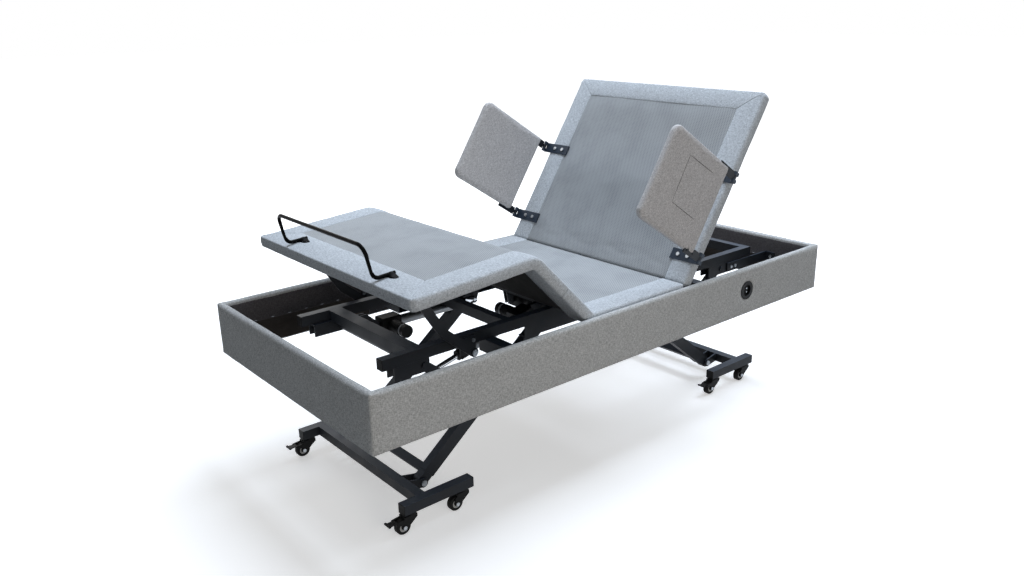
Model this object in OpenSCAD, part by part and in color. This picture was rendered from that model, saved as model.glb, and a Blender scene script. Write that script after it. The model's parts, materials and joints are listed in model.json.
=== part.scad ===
// Adjustable bed base: upholstered surround on a steel frame, folding deck with side wings,
// and a half-scissor lift at each end standing on braked casters.
// Millimetres. +X to the right seen from the foot, +Y to the head, +Z up, floor at z = 0,
// origin on the floor below the middle of the bed. Drawn with back and knees raised.

/* [Surround] */
// Overall width
bed_w = 980; // [900:5:1200]
// Overall length
bed_l = 2080; // [2040:5:2200]
// Height of the surround panels
panel_h = 180; // [140:5:200]
// Thickness of the upholstered panels
panel_t = 25; // [20:1:32]
// Height of the lower edge of the surround above the floor
panel_z = 392; // [380:1:400]
// Rounding of the padded panel edges
panel_r = 11; // [4:1:12]

/* [Deck] */
// Side gap between deck and surround
deck_gap = 4; // [2:1:12]
// Thickness of the padded deck border
pad_t = 40; // [36:1:44]
// Width of the padded deck border
border_w = 92; // [70:2:110]
// Height of the deck surface above the floor
deck_z = 576; // [576:1:586]
// Rounding of the border edges
pad_r = 12; // [6:1:13]
// Rounding of a border end that folds towards its neighbour
fold_r = 16; // [14:1:16]
// Gap between neighbouring deck sections
fold_gap = 8; // [8:1:12]
// Thickness of the mesh panels
mesh_t = 5; // [3:1:6]
// Side clearance of the mesh panels in their borders
mesh_gap = 0.6; // [0.3:0.1:2]
// Y position of the thigh hinge
thigh_hinge_y = -200; // [-205:1:-195]
// Y position of the back hinge
back_hinge_y = 250; // [240:1:260]
// Depth of the hinge axes below the deck surface
hinge_drop = 14; // [13:0.5:15]
// Length of the back section
back_len = 748; // [700:2:750]
// Length of the thigh section
thigh_len = 327; // [322:1:330]
// Length of the calf section
calf_len = 437; // [430:1:470]

/* [Rest pose] */
// Angle of the back section above flat
back_angle = 56.8; // [50:0.1:60]
// Angle of the thigh section above flat
thigh_angle = 45.3; // [43:0.1:46]
// Slope of the calf section down to the foot
calf_slope = 4.2; // [2:0.1:6]

/* [Steel frame] */
// Centre distance of a main tube from the middle
main_x = 247.5; // [240:0.5:255]
// Width of the main tubes
main_w = 30; // [26:1:32]
// Height of the main and cross tubes
main_h = 35; // [30:1:36]
// Wall of the steel tubes
tube_wall = 2; // [1.5:0.1:3]
// Space between main tubes and the flat mesh rails
rail_gap = 3; // [2:0.5:6]
// Foot end of the main tubes
main_foot_y = 861; // [840:1:900]
// Head end of the main tubes
main_head_y = 905; // [880:1:940]
// Length of the wide front cross tube along the bed
front_cross_w = 47; // [40:1:50]
// Distance of the front cross tube from the middle
front_cross_y = 734; // [730:1:740]
// Distance of the inner cross tubes from the middle
inner_cross_y = 120; // [115:1:125]
// Distance of the outer cross tubes from the middle
outer_cross_y = 375; // [360:1:390]
// Width of the ordinary cross tubes
cross_w = 30; // [24:1:32]
// Distance of the side outriggers from the middle
outrigger_y = 464; // [460:1:475]
// Width of the side outriggers
outrigger_w = 40; // [30:1:44]
// Depth of the under-tube parts such as outriggers and glide channels
under_h = 44; // [44:1:46]
// Thickness of the steel brackets
plate_t = 5; // [4:0.5:6]
// Gap of a welded seam
weld_gap = 0.2; // [0.1:0.05:0.3]

/* [Lift] */
// Distance of the lift pivots from the middle of the bed
lift_y = 715; // [710:1:720]
// Height of the upper lift pivots
lift_top_z = 486; // [485:1:487]
// Height of the lower lift pivots
lift_low_z = 70; // [68:1:74]
// Length of a long leg between its pivots
leg_len = 670; // [662:1:680]
// Centre distance of a long leg from the middle
leg_x = 200; // [196:1:202]
// Width of a long leg
leg_w = 30; // [26:1:32]
// Depth of a long leg
leg_d = 45; // [40:1:50]
// Radius of the leg eyes
leg_eye_r = 20; // [18:0.5:20]
// Centre distance of a short link from the middle
link_x = 240; // [238:0.5:241]
// Width of a short link
link_w = 26; // [22:1:28]
// Depth of a short link
link_d = 32; // [26:1:32]
// Radius of the lift pivot pins
pivot_r = 6; // [5:0.5:7]
// Running clearance of pins in their bores
run_gap = 0.05; // [0.02:0.01:0.1]
// Radius of the torque shaft
shaft_r = 15; // [13:0.5:15]
// Radius of the nylon glides
glide_r = 18; // [16:0.5:18]
// Width of the nylon glides
glide_w = 26; // [22:1:26]
// Play of a glide in its channel
glide_gap = 0.3; // [0.2:0.1:0.5]

/* [Base frames] */
// Centre distance of a base side tube from the middle
base_x = 320; // [315:1:330]
// Section of the base tubes
base_tube = 33; // [30:1:34]
// Top of the base tubes above the floor
base_top = 97; // [96:1:99]
// Length of a base side tube
base_len = 260; // [250:2:280]
// Distance of the base centres from the middle of the bed
base_y = 733; // [728:1:740]
// Distance of the base cross tubes from the middle of the bed
base_cross_y = 784; // [780:1:790]

/* [Casters] */
// Wheel radius
wheel_r = 25; // [24:0.5:25]
// Wheel width
wheel_w = 20; // [16:1:22]
// Trail of the wheel behind its swivel
caster_trail = 32; // [28:1:34]
// Half distance between the two casters of a side tube
caster_half = 98; // [92:1:102]
// Radius of the swivel stems
stem_r = 5.5; // [5:0.5:7]
// Radius of the wheel axles
axle_r = 4; // [3:0.5:5]

/* [Actuators] */
// Distance of the lift actuators to the right of the middle
lift_act_x = 105; // [103:1:107]
// Slope of the lift actuators
lift_act_slope = 14.4; // [13:0.1:15]
// Arm of the lift levers
lift_arm = 138; // [134:1:140]
// X position of the back actuator
back_act_x = -60; // [-62:1:-58]
// Arm of the back lever
back_arm = 90; // [86:1:92]
// X position of the thigh actuator
thigh_act_x = -125; // [-127:1:-123]
// Arm of the thigh lever
thigh_arm = 76; // [74:1:80]
// Radius of the actuator rods
rod_r = 9; // [7:0.5:10]
// Radius of the actuator tubes
act_tube_r = 17; // [15:0.5:18]
// Radius of the actuator motors
motor_r = 22; // [18:0.5:23]
// Radius of the rod end pins
rod_pin_r = 5; // [4:0.5:6]
// Play of a rod pin across its lever slot
slot_play = 2.6; // [2.4:0.1:3]
// Thickness of the levers
lever_t = 8; // [6:0.5:9]

/* [Calf links] */
// Y position of the calf link pivots on the frame
calf_link_y = -554; // [-556:1:-552]
// Height of the calf link pivots on the frame
calf_link_z = 495; // [494:1:496]
// Distance of the upper link pivot from the knee axis along the calf
link_along = 309; // [307:1:311]
// Depth of the upper link pivot below the knee axis
link_below = 58; // [57:0.5:59]
// Centre distance of the calf links from the middle
calf_link_x = 296; // [294:1:298]
// Thickness of the calf links
calf_link_t = 8; // [6:0.5:9]
// Play at the open upper pivot of a calf link
link_play = 2; // [1.5:0.1:3]

/* [Wings] */
// Centre distance of a wing from the middle at rest
wing_x = 475; // [472:0.5:478]
// Thickness of a wing
wing_t = 22; // [18:1:24]
// Start of a wing along the back section
wing_s = 91; // [84:1:98]
// Length of a wing along the back section
wing_len = 345; // [330:1:360]
// Reach of a wing out from the back section
wing_out = 352; // [320:2:380]
// Gap between wing and back surface
wing_gap = 53.5; // [50:0.5:60]
// Corner rounding of a wing
wing_r = 26; // [10:1:40]

/* [Retainer] */
// Radius of the mattress retainer bar
bar_r = 6; // [5:0.5:8]
// Half width of the retainer bar
bar_half = 262; // [240:2:280]
// Height of the retainer bar above the calf surface
bar_rise = 112; // [90:2:130]
// Distance of the retainer clips from the foot edge
clip_in = 66; // [60:1:80]

/* [Socket] */
// Y position of the side socket
socket_y = 572; // [500:2:700]
// Height of the side socket
socket_z = 485; // [470:1:495]
// Radius of the socket face
socket_r = 35; // [28:1:40]

/* [Hidden] */

arc_fn = 32;
bore_fn = 48;
eps = 0.01;
cut = 2;

steel = "#39404c";
zinc = "#c8ccd2";
black = "#1d1e20";
fabric = "#9a9a9c";
mesh_grey = "#93a0a8";
blue_steel = "#5b7690";

// Surround and deck
half_w = bed_w / 2;
half_l = bed_l / 2;
panel_top = panel_z + panel_h;
inner_x = half_w - panel_t;
inner_y = half_l - panel_t;
seam_gap = 0.3;
deck_x = inner_x - deck_gap;
mesh_x = deck_x - border_w;
mesh_skin = 1;

// Steel frame heights
rail_t = 24;
rail_w = 30;
main_top = deck_z - mesh_skin - mesh_t - rail_t - rail_gap;
main_bottom = main_top - main_h;
under_bottom = main_bottom - under_h;
hinge_z = deck_z - hinge_drop;
top_n = hinge_drop;
low_n = top_n - pad_t;
mesh_n = top_n - mesh_skin - mesh_t;
rail_n0 = main_top + rail_gap - hinge_z;
rail_n1 = mesh_n - weld_gap;
knee_rise = 14;
knee_n = low_n + knee_rise;
end_rail_in = 14;
seat_rail_in = 32;
runner_x = 200;
calf_rail_in = 48;
calf_rail_y = calf_len - border_w - calf_rail_in;
flange_half = 34;
flange_bolt = 27;
angle_bolt = 22;
stud_bolt = 20;
thigh_cheek_l = 28;
main_out_x = main_x + main_w / 2;
main_in_x = main_x - main_w / 2;

// Hinges of the deck sections
lug_r = 12;
lug_t = 6;
lug_gap = 1;
lug_x = 333;
lug_top = 7;
hinge_pin_r = 5;
mesh_in = 16;
back_max = 62;

// Lift geometry, a half-scissor: the glide runs level with the upper pivot
lift_rise = lift_top_z - lift_low_z;
leg_angle = asin(lift_rise / leg_len);
leg_angle_low = 18;
leg_angle_high = 50;
glide_end = 6;
glide_side = 3;
channel_side = 4;
channel_wall = 3.7;
channel_y0 = leg_len * cos(leg_angle_high) - lift_y - glide_r - glide_end;
channel_y1 = leg_len * cos(leg_angle_low) - lift_y + glide_r + glide_end;
leg_in_x = leg_x - leg_w / 2;
leg_out_x = leg_x + leg_w / 2;
link_in_x = link_x - link_w / 2;
link_out_x = link_x + link_w / 2;
eye_clear = 2;
cheek_x = link_in_x - eye_clear - plate_t;
head_r = 10;
head_t = 4;
hub_wall = 5;
brace_at = 38;
brace_w = 30;
brace_h = 25;
shank = 14;
link_eye_r = 16;
base_lug_r = 16;
hanger_front = 821;
hanger_short = 125;
hanger_long = 181;
angle_lap = 70;
angle_w = 46;

// Rods and levers
rod_bore_gap = 0.05;
ear_t = 5;
ear_r = 12;
ear_gap = 1;
fork_l = 18;
slot_rim = 6;
slot_half = rod_pin_r + slot_play;
lever_half = slot_half + slot_rim;
section_hub = 14;
gusset_r = 50;
collar_r = 21;
collar_l = 50;
box_half = 28;
box_l = 70;
motor_l = 87;
motor_cap = 18;
motor_band = 8;
motor_rib = 4;
motor_fin = 2;
tongue_l = 20;
tongue_t = 10;
tongue_r = 11;
cheek_side = 3.5;
cheek_half = 2.5;
lift_body = 206;
lift_tube = 202;
block_y = 24;
fork_half = lever_t / 2 + ear_gap + ear_t;
lift_rod_l = 276;
back_grip = 40;
thigh_grip = 72;
control_x0 = 70;
control_x1 = 175;
control_half = 98;
control_h = 44;
bolt_r = 7;
bolt_t = 4;
lift_low_turn = leg_angle - leg_angle_low;
back_body_y = 140;
back_tube = 115;
back_swing = back_max / 2;
back_lean = back_angle - back_swing;
thigh_body_y = -278;
thigh_tube = 232;
thigh_swing = thigh_angle / 2;

// Knee axis and upper link pivot at rest, in the side view
knee_y = thigh_hinge_y - thigh_len * cos(thigh_angle) + knee_n * sin(thigh_angle);
knee_z = hinge_z + thigh_len * sin(thigh_angle) + knee_n * cos(thigh_angle);
upper_y = knee_y - link_along * cos(calf_slope) + link_below * sin(calf_slope);
upper_z = knee_z - link_along * sin(calf_slope) - link_below * cos(calf_slope);
link_stud_r = 7;
link_pin_r = 6;
link_half = 15;
link_bow = 22;

// Wing hinges
wing_pivot_x = wing_x + wing_t / 2 + 1;
wing_pivot_n = top_n + 16;
wing_arm_s = [104, 414];
wing_leaf_w = 30;
wing_plate_w = 40;
wing_plate_in = 357;
barrel_r = 7;
barrel_l = 14;
wing_pin_r = 3;
wing_bolts = [388, 430];
wing_bolt_r = 4;
wing_side_gap = 0.4;
wing_leaf_n = 130;
wing_screws = [78, 114];

// Retainer bar and clips
bar_lift = 10.2;
bar_lean = 10;
bar_in = 6;
bar_foot_r = 22;
bar_corner_r = 32;
clip_w = 28;
clip_l = 70;

// Casters: side, end and place along the side tube; the first four carry the brakes
CASTERS = [[-1, -1, -1], [1, -1, -1], [-1, 1, -1], [1, 1, -1],
           [-1, -1, 1], [1, -1, 1], [-1, 1, 1], [1, 1, 1]];
base_low = base_top - base_tube;
base_half = base_tube / 2;
socket_wall = 6;
stem_l = 25;
swivel_gap = 0.6;
swivel_t = 4.5;
cheek_gap = 1.5;
cheek_t = 4;
hood_t = 7.5;
pedal_y = -(caster_trail + 24);
pedal_drop = 7;
pedal_l = 30;
pedal_pin_r = 2.5;
pedal_hub_r = 5;
shoe_reach = 4.8;
shoe_t = 5;
pedal_side = 0.3;
pedal_toe_w = 4;
pedal_toe_l = 7;
pedal_boss = 5;
swivel_r = 17;
hood_front = 14;
axle_wrap = 8;
shoe_turn = 61;
tyre_t = 7;
tyre_round = 3;
web_in = 3;
hub_wall = 4;

// ---------- helpers ----------

module both_sides() {
    children();
    mirror([1, 0, 0]) children();
}

module head_end() {
    mirror([0, 1, 0]) children();
}

// a block from two corners
module block(a, b) {
    translate(a) cube([b[0] - a[0], b[1] - a[1], b[2] - a[2]]);
}

// a rod along X between two x values, centred on y and z
module rod_x(x0, x1, y, z, r, fn = bore_fn) {
    translate([x0, y, z]) rotate([0, 90, 0]) cylinder(r = r, h = x1 - x0, $fn = fn);
}

// a plate in the YZ plane, thickness along X from x0 to x1, from a 2D outline in (y, z)
module plate_x(x0, x1) {
    translate([x0, 0, 0]) rotate([90, 0, 90]) linear_extrude(x1 - x0) children();
}

// a square tube with both ends closed by caps, corner to corner, running along axis 0 (X) or 1 (Y)
module capped_tube(a, b, along) {
    cap = 2;
    in_a = [for (i = [0:2]) i == along ? a[i] - cut : a[i] + tube_wall];
    in_b = [for (i = [0:2]) i == along ? b[i] + cut : b[i] - tube_wall];
    body_a = [for (i = [0:2]) i == along ? a[i] + cap : a[i]];
    body_b = [for (i = [0:2]) i == along ? b[i] - cap : b[i]];
    difference() {
        block(body_a, body_b);
        block(in_a, in_b);
    }
    for (e = [0, 1]) {
        lo = [for (i = [0:2]) i == along ? (e == 0 ? a[i] : b[i] - cap + weld_gap) : a[i]];
        hi = [for (i = [0:2]) i == along ? (e == 0 ? a[i] + cap - weld_gap : b[i]) : b[i]];
        block(lo, hi);
    }
}

// an open square tube, for tubes whose ends are welded against another
module open_tube(a, b, along) {
    in_a = [for (i = [0:2]) i == along ? a[i] - cut : a[i] + tube_wall];
    in_b = [for (i = [0:2]) i == along ? b[i] + cut : b[i] - tube_wall];
    difference() {
        block(a, b);
        block(in_a, in_b);
    }
}

// a rounded rectangle outline from two corners
module round_rect(x0, y0, x1, y1, r) {
    hull() {
        for (x = [x0 + r, x1 - r], y = [y0 + r, y1 - r]) translate([x, y]) circle(r = r, $fn = arc_fn);
    }
}

// a hinge lug outline: an eye at the origin with an arm towards +Y, narrower than the eye
module lug_outline(r, reach) {
    circle(r = r, $fn = bore_fn);
    translate([0, 1 - r]) square([reach, lug_top + r - 1]);
}

// places a deck section: local +Y runs along the section, z = 0 is its hinge axis
module at_back() {
    translate([0, back_hinge_y, hinge_z]) rotate([back_angle, 0, 0]) children();
}

module at_thigh() {
    translate([0, thigh_hinge_y, hinge_z]) rotate([-thigh_angle, 0, 0]) mirror([0, 1, 0]) children();
}

// the calf is drawn at the same heights as the other sections, so its hinge axis lies at knee_n
module at_calf() {
    translate([0, knee_y, knee_z]) rotate([calf_slope, 0, 0]) mirror([0, 1, 0])
        translate([0, 0, -knee_n]) children();
}

// ---------- surround ----------

// side profile of a panel, extruded along Y, standing at positive X
module panel_side_profile(y0, y1) {
    translate([0, y0, 0]) mirror([0, 1, 0]) rotate([90, 0, 0]) linear_extrude(y1 - y0)
        round_rect(inner_x, panel_z, half_w, panel_top, panel_r);
}

module side_panel() {
    g = seam_gap / sqrt(2);
    intersection() {
        panel_side_profile(-half_l, half_l);
        translate([0, 0, panel_z - cut]) linear_extrude(panel_h + 2 * cut)
            polygon([[inner_x - cut, -inner_y + cut + g], [half_w + cut, -half_l - cut + g],
                     [half_w + cut, half_l + cut - g], [inner_x - cut, inner_y - cut - g]]);
    }
}

module end_panel() {
    g = seam_gap / sqrt(2);
    intersection() {
        translate([-half_w, 0, 0]) rotate([90, 0, 90]) linear_extrude(bed_w)
            round_rect(-half_l, panel_z, -inner_y, panel_top, panel_r);
        translate([0, 0, panel_z - cut]) linear_extrude(panel_h + 2 * cut)
            polygon([[-half_w - cut + g, -half_l - cut], [half_w + cut - g, -half_l - cut],
                     [inner_x - cut - g, -inner_y + cut], [-inner_x + cut + g, -inner_y + cut]]);
    }
}

module surround_left() {
    color(fabric) mirror([1, 0, 0]) side_panel();
}

module surround_right() {
    color(fabric) difference() {
        side_panel();
        rod_x(half_w - 2, half_w + cut, socket_y, socket_z, socket_r + seam_gap);
        rod_x(inner_x - cut, half_w, socket_y, socket_z, socket_r - 6 + seam_gap);
    }
}

module surround_foot() {
    color(fabric) end_panel();
}

module surround_head() {
    color(fabric) head_end() end_panel();
}

module power_socket() {
    face_t = 2 - seam_gap;
    color(black) difference() {
        union() {
            rod_x(half_w - face_t, half_w, socket_y, socket_z, socket_r);
            rod_x(inner_x - 12, half_w - face_t, socket_y, socket_z, socket_r - 6);
        }
        rod_x(half_w - 9, half_w + cut, socket_y, socket_z, socket_r - 14);
    }
    color(zinc) for (z = [-7, 7])
        rod_x(half_w - 9 + weld_gap, half_w - 3, socket_y, socket_z + z, 2.5, 24);
}

// ---------- fixed steel frame ----------

module main_tubes() {
    both_sides() capped_tube([main_in_x, -main_foot_y, main_bottom],
                             [main_out_x, main_head_y, main_top], 1);
}

module cross_tube(y, w) {
    x = main_in_x - weld_gap;
    open_tube([-x, y - w / 2, main_bottom], [x, y + w / 2, main_top], 0);
}

// an outrigger under a main tube, with the flange that carries the side panel
module outrigger() {
    x1 = inner_x - weld_gap - plate_t;
    open_tube([main_in_x, -outrigger_y - outrigger_w / 2, under_bottom],
              [x1 - weld_gap, -outrigger_y + outrigger_w / 2, main_bottom - weld_gap], 0);
    block([x1, -outrigger_y - flange_half, under_bottom - 10],
          [x1 + plate_t, -outrigger_y + flange_half, main_bottom + 14]);
}

// the channel-shaped hanger under a main tube that carries the torque shaft of one lift
module lift_hanger(length) {
    low = under_bottom + 2;
    y0 = -hanger_front;
    difference() {
        block([cheek_x, y0, low], [main_out_x, y0 + length, main_bottom - weld_gap]);
        block([cheek_x + plate_t, y0 - cut, low - cut],
              [main_out_x - plate_t, y0 + length + cut, main_bottom - weld_gap - plate_t]);
        rod_x(main_out_x - plate_t - cut, main_out_x + cut, -lift_y, lift_top_z, pivot_r + run_gap);
        rod_x(cheek_x - cut, cheek_x + plate_t + cut, -lift_y, lift_top_z, shaft_r + run_gap);
    }
}

// the channel under a main tube in which the glide of a long leg runs
module glide_channel() {
    x0 = leg_out_x + channel_side;
    z0 = lift_top_z - glide_r - glide_gap;
    z1 = lift_top_z + glide_r + glide_gap;
    difference() {
        block([x0, channel_y0, under_bottom], [link_out_x, channel_y1, main_bottom - weld_gap]);
        block([x0 - cut, channel_y0 - cut, z0], [link_out_x - channel_wall, channel_y1 + cut, z1]);
    }
}

// a cross rail of the deck between the padded borders
module deck_rail(y0, n0, n1) {
    x = mesh_x - mesh_gap;
    open_tube([-x, y0, n0], [x, y0 + rail_w, n1], 0);
}

// one plain hinge lug in the side view: eye at the origin, arm along +Y up to reach
module lug(x, reach, bore_r) {
    difference() {
        plate_x(x, x + lug_t) lug_outline(lug_r, reach);
        rod_x(x - cut, x + lug_t + cut, 0, 0, bore_r);
    }
}

// the fixed lugs and pins of a deck hinge, eye at the origin and arm towards +Y
module fixed_lugs(reach) {
    both_sides() {
        lug(lug_x, reach, hinge_pin_r + weld_gap);
        rod_x(lug_x - 2, lug_x + 2 * lug_t + lug_gap + 2, 0, 0, hinge_pin_r);
    }
}

module moving_lugs(reach) {
    both_sides() lug(lug_x + lug_t + lug_gap, reach, hinge_pin_r + run_gap);
}

// the two cheeks that hold the rear pin of an actuator: outline points in the side view
module act_cheeks(x, y, z, outline) {
    for (s = [-1, 1]) difference() {
        cx = x + s * (tongue_t / 2 + cheek_side);
        plate_x(cx - cheek_half, cx + cheek_half) polygon(outline);
        rod_x(x - tongue_t - 8, x + tongue_t + 8, y, z, rod_pin_r + weld_gap);
    }
    rod_x(x - tongue_t / 2 - 8, x + tongue_t / 2 + 8, y, z, rod_pin_r);
}

// rear pin of a foot lift actuator in the side view
lift_rear = lift_body + collar_l + lift_tube + box_l + tongue_l;
lift_rear_y = -lift_y + lift_rear * cos(lift_act_slope) + lift_arm * sin(lift_act_slope);
lift_rear_z = lift_top_z + lift_rear * sin(lift_act_slope) - lift_arm * cos(lift_act_slope);
back_rear_y = back_body_y - collar_l - back_tube - box_l - tongue_l;
back_rod_z = hinge_z - back_arm;
thigh_rear_y = thigh_body_y - collar_l - thigh_tube - box_l - tongue_l;
thigh_rod_z = hinge_z - thigh_arm;

module lift_cheeks() {
    y = -inner_cross_y;
    z = main_bottom - weld_gap;
    act_cheeks(lift_act_x, lift_rear_y, lift_rear_z,
               [[lift_rear_y - 12, lift_rear_z - 11], [lift_rear_y + 12, lift_rear_z - 11],
                [y + cross_w / 2, z - 10], [y + cross_w / 2, z], [lift_rear_y - 12, z]]);
}

module back_cheeks() {
    z = main_bottom - weld_gap;
    act_cheeks(back_act_x, back_rear_y, back_rod_z,
               [[back_rear_y - 11, back_rod_z - 11], [back_rear_y + 11, back_rod_z - 11],
                [-inner_cross_y + cross_w / 2, z], [-inner_cross_y - cross_w / 2, z]]);
}

module thigh_cheeks() {
    y = -front_cross_y + front_cross_w / 2 + weld_gap;
    act_cheeks(thigh_act_x, thigh_rear_y, thigh_rod_z,
               [[y, main_bottom + 3], [y, main_top - 2], [y + thigh_cheek_l, main_top - 2],
                [thigh_rear_y + 13, thigh_rod_z + 14], [thigh_rear_y + 13, thigh_rod_z - 11],
                [thigh_rear_y - 12, thigh_rod_z - 11], [y + 20, main_bottom + 3]]);
}

// bracket on the outside of a main tube with the stud of a calf link
module link_stud() {
    x0 = main_out_x + weld_gap;
    difference() {
        block([x0, calf_link_y - 30, calf_link_z - 16], [x0 + plate_t, calf_link_y + 30, main_top - 8]);
        rod_x(x0 - cut, x0 + plate_t + cut, calf_link_y, calf_link_z, link_stud_r + weld_gap);
    }
    rod_x(x0, calf_link_x + calf_link_t / 2 + 1, calf_link_y, calf_link_z, link_stud_r);
}

// angle at the head end of a main tube that carries the head panel
module head_angle() {
    z0 = under_bottom + 4;
    z1 = main_bottom - 4;
    x = main_out_x + weld_gap;
    y = inner_y - weld_gap;
    block([x, hanger_front - angle_lap, z0], [x + plate_t, y, z1]);
    block([x + plate_t, y - plate_t, z0], [x + angle_w, y, z1]);
}

module seat_rails() {
    for (y = [thigh_hinge_y + seat_rail_in, back_hinge_y - seat_rail_in - rail_w])
        translate([0, 0, hinge_z]) deck_rail(y, main_top + weld_gap - hinge_z, rail_n1);
}

module main_frame() {
    color(steel) {
        main_tubes();
        cross_tube(-front_cross_y, front_cross_w);
        for (y = [-outer_cross_y, -inner_cross_y, 0, inner_cross_y, outer_cross_y])
            cross_tube(y, cross_w);
        cross_tube(main_head_y - 2 - cross_w / 2, cross_w);
        both_sides() {
            outrigger();
            glide_channel();
            lift_hanger(hanger_short);
            link_stud();
            head_end() {
                outrigger();
                glide_channel();
                lift_hanger(hanger_long);
            }
            head_angle();
        }
        seat_rails();
        translate([0, thigh_hinge_y, hinge_z]) fixed_lugs(seat_rail_in - weld_gap);
        translate([0, back_hinge_y, hinge_z]) mirror([0, 1, 0]) fixed_lugs(seat_rail_in - weld_gap);
        lift_cheeks();
        head_end() lift_cheeks();
        back_cheeks();
        thigh_cheeks();
    }
}

// ---------- deck sections ----------

// a padded border piece: side profile (y, n) rounded at its two ends, outer edges rounded by pad_r
module border_bar(y0, y1, tops, lows) {
    small = 1;
    intersection() {
        plate_x(mesh_x, deck_x) hull() {
            for (e = [0, 1]) {
                rt = tops[e];
                rl = lows[e];
                s = e == 0 ? 1 : -1;
                y = e == 0 ? y0 : y1;
                translate([y + s * rt, top_n - rt]) circle(r = rt, $fn = arc_fn);
                translate([y + s * rl, low_n + rl]) circle(r = rl, $fn = arc_fn);
            }
        }
        translate([0, y1 + small, 0]) rotate([90, 0, 0]) linear_extrude(y1 - y0 + 2 * small) hull() {
            translate([mesh_x, low_n]) square([small, pad_t]);
            for (n = [top_n - pad_r, low_n + pad_r])
                translate([deck_x - pad_r, n]) circle(r = pad_r, $fn = arc_fn);
        }
    }
}

module side_borders(y0, y1, tops, lows) {
    both_sides() border_bar(y0, y1, tops, lows);
}

// three borders round the free end of a section, mitred at the corners
module border_frame(len, top_fold, low_fold) {
    g = seam_gap / sqrt(2);
    e = cut * 4;
    both_sides() intersection() {
        border_bar(fold_gap / 2, len, [top_fold, pad_r], [low_fold, pad_r]);
        translate([0, 0, low_n - cut]) linear_extrude(pad_t + 2 * cut)
            polygon([[mesh_x - e, -e], [deck_x + e, -e], [deck_x + e, len + e - g],
                     [mesh_x - e, len - border_w - e - g]]);
    }
    intersection() {
        translate([-deck_x, 0, 0]) rotate([90, 0, 90]) linear_extrude(2 * deck_x) hull() {
            translate([len - border_w, low_n]) square([1, pad_t]);
            for (n = [top_n - pad_r, low_n + pad_r])
                translate([len - pad_r, n]) circle(r = pad_r, $fn = arc_fn);
        }
        translate([0, 0, low_n - cut]) linear_extrude(pad_t + 2 * cut)
            polygon([[-deck_x - e + g, len + e], [deck_x + e - g, len + e],
                     [mesh_x - e - g, len - border_w - e], [e + g - mesh_x, len - border_w - e]]);
    }
}

module mesh_panel(y0, y1) {
    x = mesh_x - mesh_gap;
    block([-x, y0, mesh_n], [x, y1, mesh_n + mesh_t]);
}

// two lengthwise tubes between two deck rails
module deck_runners(y0, y1) {
    both_sides() open_tube([runner_x - rail_w / 2, y0 + weld_gap, rail_n0],
                           [runner_x + rail_w / 2, y1 - weld_gap, rail_n1], 1);
}

// a lever in the side view: pivot at the origin, pointing down, slotted from near to far
module lever_outline(hub, far) {
    circle(r = hub, $fn = bore_fn);
    translate([0, -far]) circle(r = lever_half, $fn = bore_fn);
    polygon([[1 - hub, 0], [hub - 1, 0], [lever_half - 1, -far], [1 - lever_half, -far]]);
}

module lever_slot(x, near, far) {
    t = lever_t / 2 + cut;
    for (d = [near, far]) rod_x(x - t, x + t, 0, -d, slot_half);
    block([x - t, eps - slot_half, -far], [x + t, slot_half - eps, -near]);
}

// the slotted plate under the first rail of a section, driven by an actuator
module section_lever(x, arm, swing) {
    far = arm / cos(swing);
    difference() {
        plate_x(x - lever_t / 2, x + lever_t / 2) {
            rotate(-swing) lever_outline(section_hub, far);
            polygon([[0, lug_top], [end_rail_in - weld_gap, lug_top],
                     [end_rail_in - weld_gap, rail_n0 - weld_gap], [end_rail_in + rail_w, rail_n0 - weld_gap],
                     [(lever_half - 1) * cos(swing) - gusset_r * sin(swing),
                      -gusset_r * cos(swing) - (lever_half - 1) * sin(swing)]]);
        }
        rotate([-swing, 0, 0]) lever_slot(x, arm, far);
    }
}

module seat_pad() {
    y0 = thigh_hinge_y + fold_gap / 2;
    y1 = back_hinge_y - fold_gap / 2;
    color(fabric) translate([0, 0, hinge_z]) side_borders(y0, y1, [fold_r, fold_r], [pad_r, pad_r]);
}

module seat_mesh() {
    color(mesh_grey) translate([0, 0, hinge_z]) mesh_panel(thigh_hinge_y + mesh_in, back_hinge_y - mesh_in);
}

module back_frame() {
    mid = (back_len - border_w + end_rail_in) / 2 - rail_w / 2;
    last = back_len - border_w - 2 * mesh_gap - rail_w;
    color(steel) at_back() {
        for (y = [end_rail_in, mid, last]) deck_rail(y, rail_n0, rail_n1);
        deck_runners(end_rail_in + rail_w, mid);
        deck_runners(mid + rail_w, last);
        moving_lugs(end_rail_in - weld_gap);
        section_lever(back_act_x, back_arm, back_swing);
    }
}

module back_pad() {
    color(fabric) at_back() border_frame(back_len, fold_r, pad_r);
}

module back_mesh() {
    color(mesh_grey) at_back() mesh_panel(mesh_in, back_len - border_w - mesh_gap);
}

module thigh_frame() {
    last = thigh_len - end_rail_in - rail_w;
    color(steel) at_thigh() {
        for (y = [end_rail_in, last]) deck_rail(y, rail_n0, rail_n1);
        deck_runners(end_rail_in + rail_w, last);
        moving_lugs(end_rail_in - weld_gap);
        translate([0, thigh_len, knee_n]) mirror([0, 1, 0]) fixed_lugs(end_rail_in - weld_gap);
        section_lever(thigh_act_x, thigh_arm, thigh_swing);
    }
}

module thigh_pad() {
    color(fabric) at_thigh()
        side_borders(fold_gap / 2, thigh_len - fold_gap / 2, [fold_r, pad_r], [pad_r, fold_r]);
}

module thigh_mesh() {
    color(mesh_grey) at_thigh() mesh_panel(mesh_in, thigh_len - mesh_in);
}

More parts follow.
